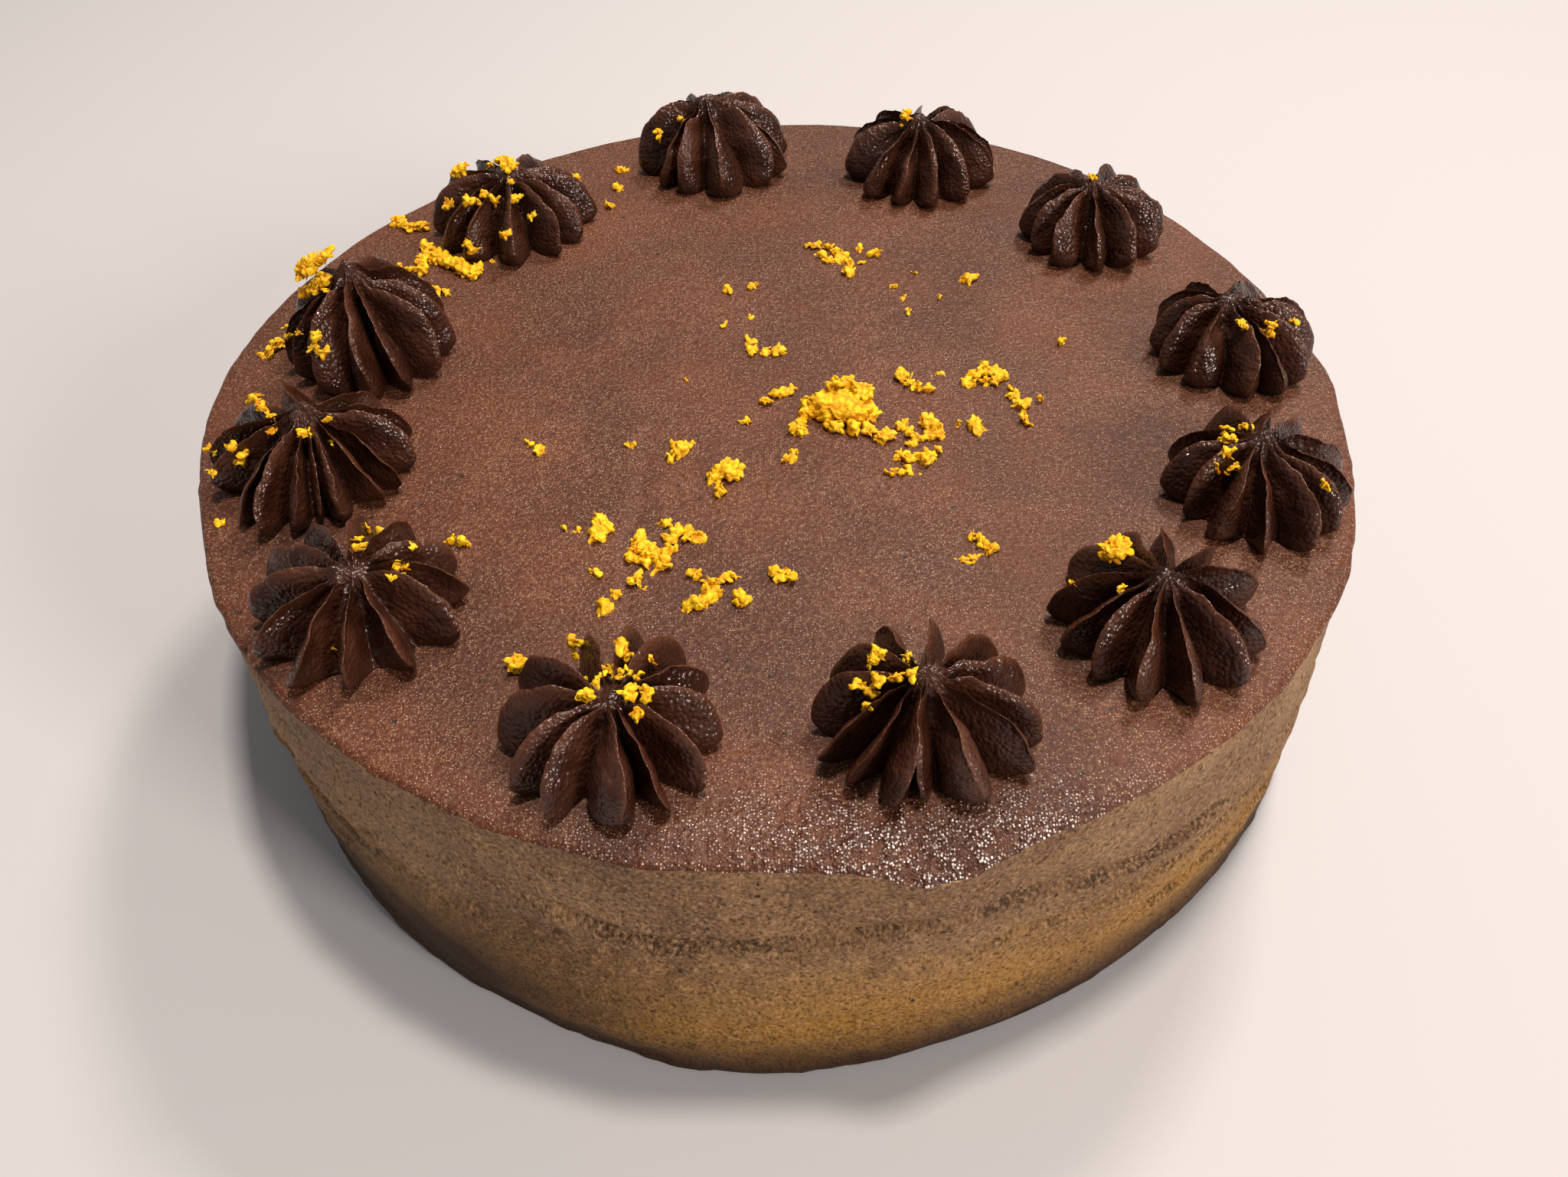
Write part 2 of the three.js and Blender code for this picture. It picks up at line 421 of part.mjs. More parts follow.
// A profile of [radius, height] pairs spun round Z.
function spin(profile, segments) {
  const points = profile.map(([radius, height]) => new THREE.Vector2(radius, height));
  return new THREE.LatheGeometry(points, segments).rotateX(Math.PI / 2);
}

// ---- the frosted cake -----------------------------------------------------------------------
function swell(swells, bearing) {
  let out = 0;
  for (const place of swells) {
    const off = ((bearing - place.bearing + 540) % 360) - 180;
    out += place.out * Math.exp(-((off / place.spread) ** 2));
  }
  return out;
}

// The side is scraped by hand: flat bands with a slight wave between them.
function sideWave(bearing, height) {
  const wave = Math.sin(degrees(bearing * 3) + height * 0.09) * HAND_WAVE;
  const band = Math.sin(height * 0.31 + Math.sin(degrees(bearing * 2)) * 1.4) * SCRAPER_BAND;
  return wave + band;
}

function cakeProfile() {
  const profile = [[0, 0], [CAKE_RADIUS - FOOT_ROUNDING, 0], [CAKE_RADIUS, FOOT_ROUNDING]];
  for (const share of SIDE_RINGS) {
    profile.push([CAKE_RADIUS, CAKE_HEIGHT * share]);
  }
  for (const turn of [0, 45, 90]) {
    const along = RIM_ROUNDING * (1 - Math.cos(degrees(turn)));
    const up = RIM_ROUNDING * Math.sin(degrees(turn));
    profile.push([CAKE_RADIUS - along, CAKE_HEIGHT - RIM_ROUNDING + up]);
  }
  profile.push([0, CAKE_HEIGHT]);
  return profile;
}

function frostedBody() {
  const geometry = spin(cakeProfile(), CAKE_SEGMENTS);
  const position = geometry.attributes.position;
  for (let i = 0; i < position.count; i += 1) {
    const [x, y, z] = [position.getX(i), position.getY(i), position.getZ(i)];
    const radius = Math.hypot(x, y);
    const bearing = THREE.MathUtils.radToDeg(Math.atan2(y, x));
    const share = smoothStep(z / CAKE_HEIGHT);
    const outline = mix(swell(FOOT_SWELLS, bearing), swell(RIM_SWELLS, bearing), share);
    const flat = z <= 0 || z >= CAKE_HEIGHT;
    const out = outline + (flat ? 0 : sideWave(bearing, z));
    const scale = radius > 1 ? (radius + out) / radius : 1;
    position.setXYZ(i, x * scale, y * scale, z);
  }
  return toSolid(geometry);
}

// ---- one rosette ----------------------------------------------------------------------------
// Rows like those of SHAPED_FINS, drawn by chance, and how much higher than most each fin is.
function drawnFins(rosette) {
  const draws = new Draws(rosette.seed);
  const pitch = 360 / rosette.fins;
  const fins = [];
  for (let i = 0; i < rosette.fins; i += 1) {
    fins.push({ bearing: rosette.turn + pitch * i + draws.around(FIN_SWING) });
  }
  for (const fin of fins) {
    fin.reach = draws.around(FIN_REACH);
    fin.rise = draws.around(FIN_RISE);
    fin.bow = draws.around(FIN_LEAN) * pitch;
    fin.girth = draws.around(FIN_GIRTH);
  }
  return fins.map((fin, i) => {
    const plump = rosette.full + fin.girth * PLUMP_BY_GIRTH;
    const cleft = 0.5 + (fin.girth - fins[(i + 1) % fins.length].girth) / 2;
    return [fin.bearing, fin.bow, fin.reach, plump, cleft, fin.rise];
  });
}

// Every fin of a rosette, with the bearings of the gaps on either side of it.
function makeFins(rosette, number) {
  const rows = SHAPED_FINS[number] ?? drawnFins(rosette);
  const fins = rows.map(([bearing, bow, reach, plump, cleft, rise = 0]) => (
    { bearing, bow, reach, plump: THREE.MathUtils.clamp(plump, 0, 1), cleft, rise }
  ));
  fins.forEach((fin, i) => {
    const next = i + 1 < fins.length ? fins[i + 1].bearing : fins[0].bearing + 360;
    fin.after = mix(fin.bearing, next, fin.cleft);
  });
  fins.forEach((fin, i) => {
    fin.before = i > 0 ? fins[i - 1].after : fins[fins.length - 1].after - 360;
  });
  return fins;
}

// How near the crest a place is, from 1 on it to 0 in the gap, across a fin of this half width.
function ridgeAt(side, halfWidth) {
  const bell = (value) => 1 / (1 + (value / halfWidth) ** 2);
  return (bell(side) - bell(1)) / (1 - bell(1));
}

// A point of the rosette, from its middle. fin: which one. across: -0.5 to 0.5, from the gap on
// one side over the crest to the gap on the other. along: 0 at the peak, 1 at the toe.
function finPoint(rosette, fins, fin, across, along) {
  const here = fins[fin];
  const edge = across < 0 ? here.before : here.after;
  const side = Math.abs(across) * 2;
  const turn = along * Math.PI / 2;

  const grown = smoothStep(along / HUB_GROWTH);
  const swollen = here.plump * smoothStep((along - PLUMP_FROM) / PLUMP_OVER);
  const ridge = ridgeAt(side, mix(THIN_FIN, THICK_FIN, swollen));
  const lift = 1 - grown * (1 - ridge);

  const crestOut = Math.sin(turn) ** CREST_LEVEL * (1 + here.reach * grown);
  const crestUp = Math.cos(turn) ** CREST_LEVEL * (1 + here.rise * grown);
  const gapOut = rosette.gap * along ** GAP_OUT;
  const gapUp = GAP_TOP * (1 - along) ** GAP_UP;
  const out = mix(gapOut, crestOut, lift);
  const up = mix(gapUp, crestUp, lift);

  const bow = here.bow * ridge * Math.sin(Math.PI * along);
  const bearing = degrees(mix(here.bearing, edge, side) + bow);
  const radius = out * rosette.width / 2;
  const towardTip = (1 - along) ** 2;
  const peak = rosette.pull * Math.exp(-((out / PEAK_WIDTH) ** 2));
  return new THREE.Vector3(
    radius * Math.cos(bearing) + rosette.tip[0] * towardTip,
    radius * Math.sin(bearing) + rosette.tip[1] * towardTip,
    Math.max(up * rosette.height + peak, 0),
  );
}

// A star of fins: a lathed blank whose rings are drawn in between the fins.
function rosetteSolid(rosette, fins) {
  const blank = RING_PLACES.map((along) => [along, 1 - along]);
  blank.push([0, 0]);
  const geometry = spin(blank.reverse(), fins.length * FIN_STEPS.length);
  const position = geometry.attributes.position;
  const rings = blank.length;
  for (let i = 0; i < position.count; i += 1) {
    const column = Math.floor(i / rings) % (fins.length * FIN_STEPS.length);
    const row = rings - 1 - (i % rings);
    if (row === rings - 1) {
      position.setXYZ(i, 0, 0, 0);
      continue;
    }
    const fin = Math.floor(column / FIN_STEPS.length);
    const across = row === 0 ? 0 : FIN_STEPS[column % FIN_STEPS.length];
    const point = finPoint(rosette, fins, row === 0 ? 0 : fin, across, RING_PLACES[row]);
    position.setXYZ(i, point.x, point.y, point.z);
  }
  return toSolid(geometry);
}

// Height of the rosette's surface over a place measured from its middle.
function heightOn(rosette, fins, x, y) {
  let best = 0;
  let nearest = Infinity;
  for (let fin = 0; fin < fins.length; fin += 1) {
    for (const across of LOOKUP_ACROSS) {
      for (let along = 0; along <= 1; along += LOOKUP_STEP) {
        const point = finPoint(rosette, fins, fin, across, along);
        const distance = Math.hypot(point.x - x, point.y - y);
        if (distance < nearest) {
          nearest = distance;
          best = point.z;
        }
      }
    }
  }
  return best;
}

// Height that a crumb rests at: between what is under its middle and the highest that its edge
// touches.
function heightUnder(rosette, fins, crumb) {
  const half = crumb.size * CRUMB_REST;
  const places = [[0, 0], [half, 0], [-half, 0], [0, half], [0, -half]];
  const heights = places.map(([dx, dy]) => heightOn(rosette, fins, crumb.x + dx, crumb.y + dy));
  return mix(heights[0], Math.max(...heights), RESTS_HIGH);
}

// ---- orange zest ----------------------------------------------------------------------------
// Every crumb of a scatter: where it lies, its size and how high it is piled.
function scatterCrumbs(scatter, draws) {
  const { from, to = from, spread = [0, 0], count = 1, size, pile = [0, 0] } = scatter;
  const crumbs = [];
  for (let i = 0; i < count; i += 1) {
    const along = count > 1 ? i / (count - 1) : 0;
    crumbs.push({
      x: mix(from[0], to[0], along) + draws.around(spread[0]),
      y: mix(from[1], to[1], along) + draws.around(spread[1]),
      size: mix(size[0], size[1], draws.next()),
      lift: mix(pile[0], pile[1], draws.next()),
      turn: draws.next() * 360,
      long: draws.next(),
    });
  }
  return crumbs;
}

// A crumb is a squashed, uneven lump of grated peel.
function crumbSolid(crumb, surface) {
  const draws = new Draws(Math.floor(crumb.turn * 1000) + 7);
  const lump = crumb.size < LARGE_CRUMB
    ? new THREE.OctahedronGeometry(0.54, 0)
    : new THREE.IcosahedronGeometry(0.5, 0);
  const geometry = weld(lump);
  const position = geometry.attributes.position;
  for (let i = 0; i < position.count; i += 1) {
    const scale = 1 + draws.around(CRUMB_UNEVENNESS);
    position.setXYZ(i, position.getX(i) * scale, position.getY(i) * scale, position.getZ(i) * scale);
  }
  const length = crumb.size * mix(CRUMB_LENGTH[0], CRUMB_LENGTH[1], crumb.long);
  const height = crumb.size * CRUMB_HEIGHT;
  geometry.scale(length, crumb.size * CRUMB_WIDTH, height);
  geometry.rotateZ(degrees(crumb.turn));
  const middle = surface + crumb.lift + height * (0.5 - CRUMB_SUNK);
  geometry.translate(crumb.x, crumb.y, Math.max(middle, height * LOWEST_CRUMB));
  return toSolid(geometry);
}

// The crumbs that are large enough for the solids, the largest first.
function largeCrumbs(scatters, draws) {
  const crumbs = scatters.flatMap((scatter) => scatterCrumbs(scatter, draws));
  return crumbs.filter((crumb) => crumb.size >= SMALLEST_CRUMB).sort((a, b) => b.size - a.size);
}

// Adds crumbs to a solid, each only where it touches what is there. placeOf gives the height that
// a crumb rests at.
function withCrumbs(solid, crumbs, placeOf) {
  let whole = solid;
  for (const crumb of crumbs) {
    const joined = whole.add(crumbSolid(crumb, placeOf(crumb)));
    if (joined.decompose().length === 1) {
      whole = joined;
    }
  }
  return whole;
}

function cakeWithZest() {
  return withCrumbs(frostedBody(), largeCrumbs(CAKE_ZEST, new Draws(ZEST_SEED)), () => CAKE_HEIGHT);
}

function rosetteWithZest(rosette, number) {
  const fins = makeFins(rosette, number);
  const scatters = ROSETTE_ZEST.filter((scatter) => scatter.on === number);
  const crumbs = largeCrumbs(scatters, new Draws(ZEST_SEED + number));
  return withCrumbs(rosetteSolid(rosette, fins), crumbs, (crumb) => heightUnder(rosette, fins, crumb));
}

// ---- the model ------------------------------------------------------------------------------
const frosting = new THREE.MeshStandardMaterial({ color: 0x74503f, roughness: 0.55, metalness: 0 });
const piping = new THREE.MeshStandardMaterial({ color: 0x3a241b, roughness: 0.35, metalness: 0 });

const group = new THREE.Group();

const cake = new THREE.Mesh(toGeometry(cakeWithZest()), frosting);
cake.name = 'frosted_cake';
group.add(cake);

ROSETTES.forEach((rosette, index) => {
  const number = index + 1;
  const mesh = new THREE.Mesh(toGeometry(rosetteWithZest(rosette, number)), piping.clone());
  mesh.name = `rosette_${String(number).padStart(2, '0')}`;
  mesh.position.set(rosette.at[0], rosette.at[1], CAKE_HEIGHT + SEAT_GAP);
  group.add(mesh);
});

export default group;
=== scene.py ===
"""Looks of a round chocolate cake with piped rosettes and grated orange zest, built round the CAD frame.

Sizes in the tables are millimetres; the meshes are metres. +Z is up and the camera looks along +Y.
"""

import math

import bmesh
import bpy
import numpy as np
from mathutils import Euler, Matrix, Vector


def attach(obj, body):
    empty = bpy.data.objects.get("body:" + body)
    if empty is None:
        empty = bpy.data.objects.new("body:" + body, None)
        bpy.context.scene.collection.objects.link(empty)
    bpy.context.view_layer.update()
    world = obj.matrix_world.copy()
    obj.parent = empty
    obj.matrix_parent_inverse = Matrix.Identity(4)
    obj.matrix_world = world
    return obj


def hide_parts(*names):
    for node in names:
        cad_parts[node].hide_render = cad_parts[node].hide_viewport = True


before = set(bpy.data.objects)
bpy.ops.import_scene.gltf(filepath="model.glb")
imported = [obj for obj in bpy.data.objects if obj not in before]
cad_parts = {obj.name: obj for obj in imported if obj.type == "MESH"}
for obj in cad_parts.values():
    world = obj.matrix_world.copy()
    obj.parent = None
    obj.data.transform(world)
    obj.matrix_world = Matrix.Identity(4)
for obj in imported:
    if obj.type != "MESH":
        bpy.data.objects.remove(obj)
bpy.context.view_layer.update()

MM = 0.001

# ---- the cake -------------------------------------------------------------------------------
CAKE_RADIUS = 100.0
CAKE_HEIGHT = 58.0
RIM_ROUNDING = 1.0
FOOT_ROUNDING = 0.8
SIDE_FROM = CAKE_HEIGHT - 0.3  # height at which the top's frosting gives way to the side's
SIDE_OVER = 0.9
CAKE_COLUMNS = 560
HOVER = 0.3  # of the rosettes over the top

# Where the frosting stands out of a true circle, or falls short of it: the bearing of the middle,
# the half width in degrees, and how far it stands out.
RIM_SWELLS = (
    (57, 15, 1.8),
    (15, 13, -1.7),
    (-13, 12, -1.9),
    (-70, 5, -0.9),
    (-78, 5, 1.7),
    (-89, 7, -1.0),
    (119, 10, -1.2),
    (175, 14, 1.1),
    (-160, 10, -0.9),
)
FOOT_SWELLS = (
    (-25, 18, 2.4),
    (-96, 12, 1.6),
    (-155, 14, -0.9),
    (60, 25, 1.0),
    (140, 20, 1.2),
)

# ---- the rosettes, clockwise seen from above, from the one at the back ------------------------
# at: the middle on the cake's top. width: over the fins. height: of the crests. tip: how far the
# top leans. pull: the peak that the nozzle draws up (below zero, a hollow). gap: how far out the
# foot of a gap lies. fins, turn, seed and full are for fins that are drawn by chance: how many,
# the bearing of the first, the seed, and how round they are.
ROSETTES = (
    dict(at=(-13.5, 80.3), width=33.4, height=13.6, fins=12, turn=12, seed=71)
    | dict(tip=(-1.5, 0), pull=2.0, full=0.8, gap=0.68),
    dict(at=(31.5, 74.6), width=33.2, height=12.0, fins=12, turn=4, seed=912)
    | dict(tip=(-0.6, 0), pull=1.2, full=0.7, gap=0.68),
    dict(at=(64.0, 47.2), width=29.4, height=11.4, fins=12, turn=20, seed=333)
    | dict(tip=(-1.2, 0), pull=1.0, full=0.7, gap=0.66),
    dict(at=(82.4, 6.2), width=29.8, height=11.0, fins=12, turn=20, seed=5162)
    | dict(tip=(-3.0, 0), pull=1.4, full=0.9, gap=0.70),
    dict(at=(76.5, -32.3), width=29.8, height=11.2, fins=12, turn=20, seed=2609)
    | dict(tip=(-1.8, 0), pull=1.8, full=0.4, gap=0.72),
    dict(at=(54.4, -61.0), width=31.2, height=10.6, fins=12, turn=16, seed=2921)
    | dict(tip=(-0.5, 0), pull=0.8, full=0.4, gap=0.70),
    dict(at=(19.4, -78.4), width=31.0, height=11.4, tip=(-0.8, -1.0), pull=1.2, gap=0.60),
    dict(at=(-23.0, -79.7), width=31.2, height=11.0, tip=(0.6, -0.6), pull=-4.4, gap=0.62),
    dict(at=(-62.4, -56.0), width=32.2, height=10.2, tip=(1.0, 0.2), pull=-3.2, gap=0.70),
    dict(at=(-76.9, -23.3), width=32.4, height=10.6, tip=(0.4, 1.4), pull=2.0, gap=0.66),
    dict(at=(-74.4, 9.6), width=30.0, height=15.6, fins=12, turn=10, seed=4290)
    | dict(tip=(-1.0, 0.5), pull=4.2, full=0.6, gap=0.66),
    dict(at=(-54.5, 54.6), width=33.4, height=11.4, fins=12, turn=5, seed=508)
    | dict(tip=(0, 0), pull=1.0, full=0.7, gap=0.64),
)
# The fins of the rosettes in front, counterclockwise: the bearing of its toe, how far its crest
# bows sideways in degrees, how much further than most it reaches, how plump it is, and how far
# toward the next fin the gap after it lies.
SHAPED_FINS = {
    7: (
        (-178, -6, 0, 0.6, 0.5), (-158, 5, 0.05, 0.3, 0.5), (-139, 7, 0.02, 0.35, 0.35),
        (-112, 6, -0.01, 0.9, 0.5), (-93, -5, -0.14, 0.7, 0.2), (-62, -5, -0.03, 0.9, 0.5),
        (-32, -1, 0.05, 0.55, 0.5), (-14, 2, 0.03, 0.35, 0.5), (19, 2, 0, 0.4, 0.5),
        (45, 2, 0, 0.4, 0.5), (76, 6, 0, 0.15, 0.5), (113, 0, -0.05, 0.5, 0.5),
        (150, -6, -0.05, 0.6, 0.5),
    ),
    8: (
        (-175, -10, -0.01, 0.5, 0.55), (-141, -1, 0, 0.25, 0.7), (-116, -5, -0.01, 0.3, 0.35),
        (-84, 6, 0, 1, 0.6), (-57, -1, 0, 0.3, 0.55), (-39, 6, 0.04, 0.3, 0.55),
        (-6, 5, -0.02, 0.5, 0.5), (33, -2, -0.03, 0.35, 0.5), (53, 4, 0.04, 0.4, 0.5),
        (76, 5, 0.05, 0.6, 0.5), (110, -2, 0, 0.2, 0.5), (146, -1, 0.05, 0.4, 0.5),
    ),
    9: (
        (-174, -2, -0.03, 0.35, 0.5), (-145, 4, 0.01, 0.2, 0.6), (-115, 7, 0.04, 0.2, 0.75),
        (-83, 0, -0.01, 0.3, 0.45), (-48, -5, 0.01, 0.25, 0.5), (-22, 6, 0.06, 0.25, 0.5),
        (12, -2, 0.01, 0.2, 0.5), (35, 0, 0, 0.4, 0.5), (72, -4, -0.03, 0.6, 0.5),
        (98, 0, 0.05, 0.4, 0.5), (130, -3, 0.06, 0.3, 0.5), (158, -3, 0.04, 0.4, 0.5),
    ),
    10: (
        (-166, 8, 0.03, 0.2, 0.5), (-122, 3, 0.01, 0.3, 0.45), (-104, -1, 0.08, 0.5, 0.5),
        (-88, 4, 0, 1, 0.55), (-73, 3, -0.12, 0.2, 0.4), (-60, 0, -0.05, 0.9, 0.45),
        (-29, -9, -0.03, 0.4, 0.5), (-16, -5, 0.01, 0.35, 0.5), (4, 5, 0.04, 0.35, 0.5),
        (29, -1, 0.02, 0.35, 0.5), (58, -1, 0.01, 0.4, 0.5), (114, 3, 0.15, 0.3, 0.5),
        (156, -6, 0.07, 0.5, 0.5), (178, 2, 0.06, 0.3, 0.5),
    ),
}
FIN_SWING = 8.0  # how far a fin's bearing, reach, rise, bow and girth may stray
FIN_REACH = 0.04
FIN_RISE = 0.06
FIN_LEAN = 0.26
FIN_GIRTH = 0.15
PLUMP_BY_GIRTH = 1.5  # how much plumper a fin is for being that much broader
CREST_LEVEL = 0.8  # how level a crest runs before it drops: 1 for a quarter circle
THIN_FIN = 0.3  # half width of a blade, as a share of the way to the gap
THICK_FIN = 1.0  # the same of a round lobe
PLUMP_FROM = 0.14
PLUMP_OVER = 0.5
ROUND_TOES = 0.75  # how round a plump fin's toe is, rather than pointed
HUB_GROWTH = 0.17
GAP_OUT = 0.62
GAP_UP = 1.3
GAP_TOP = 0.9
PEAK_WIDTH = 0.16
HOLLOW_WIDTH = 0.3  # the same of a hollow where the peak broke off, and how much of it is left
HOLLOW_DEPTH = 0.3
FIN_COLUMNS = 28
ROSETTE_RINGS = 92
TOE_SHARE = 0.84  # share of the rings that run from the peak to the toe; the rest are under it

# ---- the zest -------------------------------------------------------------------------------
LYING = (0, 0)


def row(first, last, stray, count, size, pile=LYING):
    """Crumbs in a row: the first, the last, how far they stray, how many, the smallest and the
    largest crumb, and the lowest and the highest that they are piled."""
    return first, last, stray, count, size, pile


def heap(middle, stray, count, size, pile=LYING):
    return row(middle, middle, stray, count, size, pile)


def one(x, y, size, pile=LYING):
    return row((x, y), (x, y), (0, 0), 1, (size, size), pile)


CAKE_ZEST = (
    one(10.6, -9, 9.8), row((5.4, -9.6), (15.8, -9.2), (0.8, 3.4), 12, (3, 4.4), (0, 1)),
    row((8.6, -7.4), (13.4, -8.8), (1, 1.8), 7, (3, 4), (2.2, 3.4)),
    row((10, -6.4), (12.2, -6.6), (0.3, 0.4), 3, (2.8, 3.6), (3.8, 4.8)),
    row((6, -8), (3.6, -12), (0.4, 0.4), 3, (2.4, 3.2), (0, 0.4)), one(3.3, -13.8, 3.6),
    row((9, -13.9), (12, -14.4), (0.4, 0.3), 2, (2.6, 3.2)),
    row((15.3, -15.2), (18, -16.6), (0, 0.2), 2, (2.4, 3.6)),
    row((-1.8, -5.8), (1.8, -2.6), (0.2, 0.2), 3, (2, 3.4)), one(-5.7, -11.3, 1.9),
    row((-4.4, 9.7), (-0.4, 9.1), (0.2, 0.2), 3, (2, 2.6)), one(-5.3, 12.3, 2.6),
    row((1.8, -22.3), (2.2, -20.2), (1, 0.5), 4, (1.4, 2)),
    row((22, 0.8), (26.2, -3), (0.3, 0.4), 4, (2.2, 3)), one(28.3, 1.1, 1.5),
    row((33.6, -1.6), (36.6, 1.6), (0.3, 0.3), 3, (2.2, 3)),
    row((36.8, 2.2), (39.6, -0.2), (0.3, 0.4), 3, (2.4, 3.2)),
    row((36.8, -1.2), (38.8, -1.6), (0.2, 0.2), 2, (2, 2.6)),
    row((41.2, -3.8), (42.4, -13.4), (0.3, 0.3), 5, (1.4, 2.2)),
    row((42.4, -8.8), (42, -9.8), (0.5, 0.3), 2, (2.4, 3)), one(46.3, -7.5, 1.6),
    row((34, -12.6), (34.2, -15), (0.2, 0.2), 2, (2.2, 2.8)),
    row((30.8, -13.3), (32.8, -14), (0.2, 0.2), 2, (1.4, 1.9)),
    row((25.2, -12.6), (26.2, -16.2), (0.6, 0.3), 3, (2.6, 3.4)),
    row((20.8, -13.2), (23.4, -17.4), (0.2, 0.2), 3, (1.8, 2.6)),
    row((20.8, -21.8), (24.6, -22.2), (0.4, 0.6), 4, (2.4, 3.2)), one(22.2, -18.8, 1.8),
    row((18.4, -25.6), (22, -25.2), (0.1, 0.2), 3, (1.7, 2.2)),
    row((23.5, -25.3), (26.2, -20.4), (0, 0), 2, (1.2, 2)), one(52.3, 10.5, 2.2),
    one(-24.8, -17.5, 1.6), one(-17, -18.4, 4),
    row((-18.8, -20.6), (-15.2, -16.8), (0.2, 0.2), 2, (1.6, 2.2)),
    row((-10.4, -25.6), (-7.4, -25.8), (0.6, 1.4), 4, (3.2, 4.4)), one(-9.9, -29.5, 2.6),
    row((-28.6, -40), (-28, -37.8), (0.3, 0.2), 2, (3, 3.8)),
    row((-34, -38), (-30.4, -38.9), (0.2, 0.2), 3, (0.9, 1.4)),
    row((-18, -37.2), (-12.8, -41.2), (0.4, 0.4), 4, (2.4, 3.2)),
    row((-17.4, -40.6), (-16.6, -43), (0.4, 0.2), 2, (2.4, 3)),
    row((-22, -42), (-18.2, -44.4), (0.3, 0.4), 3, (3, 3.8)),
    row((-23, -44.8), (-18.8, -47), (0.4, 0.4), 3, (2.2, 3)), one(-22.2, -48.9, 3.2),
    row((-21.2, -50.2), (-20.4, -51.2), (0, 0), 2, (1, 1.4)), one(-28.3, -47.6, 2),
    row((-24.9, -53.1), (-26.5, -55.6), (0, 0), 2, (2, 2.6)), one(-13, -48.8, 2.4),
    row((-10.4, -50.2), (-7.2, -48.8), (0.1, 0.2), 3, (1.6, 2.3)),
    row((-13, -55.2), (-10.2, -52.2), (0.4, 0.4), 4, (2.4, 3.4)), one(-5.8, -53.9, 3),
    row((-0.5, -49.6), (1.3, -50), (0, 0), 2, (1.4, 2.8)),
    row((-42.5, -17), (-40.2, -18.4), (0.1, 0.1), 2, (2, 2.6)),
    row((-4.8, 30.3), (-9.9, 28.9), (0, 0), 2, (1.6, 2.4)),
    row((-4.8, 20.6), (-10.4, 18), (0, 0), 2, (1.2, 1.4)), one(-16.6, 0.6, 1.2),
    row((29.6, -40.4), (33.2, -44.2), (0.3, 0.3), 4, (1.8, 2.8)),
    row((30.4, -45.2), (32.6, -43.4), (0.2, 0.2), 2, (1.4, 1.9)),
    row((28.2, -46.2), (30.4, -45.8), (0.1, 0.1), 2, (1.8, 2.2)),
    row((7.6, 44.6), (9, 41.4), (0.2, 0.3), 2, (2.2, 2.6)),
    row((10.2, 39.8), (14.4, 38.8), (0.3, 0.6), 3, (2.4, 2.9)),
    row((10.4, 44.2), (12.6, 41.4), (0.3, 0.4), 3, (1.9, 2.5)),
    row((14, 40.8), (16.8, 43.4), (0.3, 0.3), 2, (2, 2.6)), one(13.9, 35.2, 2.8),
    one(19.6, 41.6, 2.9), row((6, 45), (16.9, 38.6), (0, 0), 2, (1.1, 1.4)),
    row((22.7, 29.4), (24.4, 19.9), (1, 1), 3, (1, 1.5)),
    row((27.1, 35), (30.9, 25.3), (0, 0), 2, (0.9, 1.3)), one(37.6, 31.9, 2.8),
    row((-52.2, -40.2), (-49.6, -40.8), (0, 0), 2, (1.8, 2.4)), one(-90, -35.6, 2),
    one(-37.6, -66.7, 3.2), row((-71.8, 46), (-70.6, 37.2), (0.4, 0.4), 4, (3, 3.8)),
    row((-68.2, 40.4), (-60.4, 35.8), (0.4, 0.8), 5, (3.6, 4.8)),
    row((-75.8, 38.8), (-73.4, 38.2), (0.1, 0.1), 2, (1.8, 2.4)),
    row((-80, 56), (-73.6, 54.4), (0.5, 1.2), 4, (3, 3.8)), one(-44.4, 72, 3.8),
    row((-34.2, 77.6), (-33.9, 69.4), (0, 0), 2, (2.4, 3.2)), one(-35.9, 62.3, 2.2),
    one(-66.4, 30, 2), one(-64.6, 29.2, 2),
    row((-94.3, 11.1), (-93.2, 12.4), (0.3, 0.3), 2, (2.6, 3.2), (0, 0.4)), one(-95.2, 10.2, 2.2),
    row((-63.9, -38.4), (-62.2, -37.4), (0.2, 0.1), 3, (1.2, 1.7)),
)
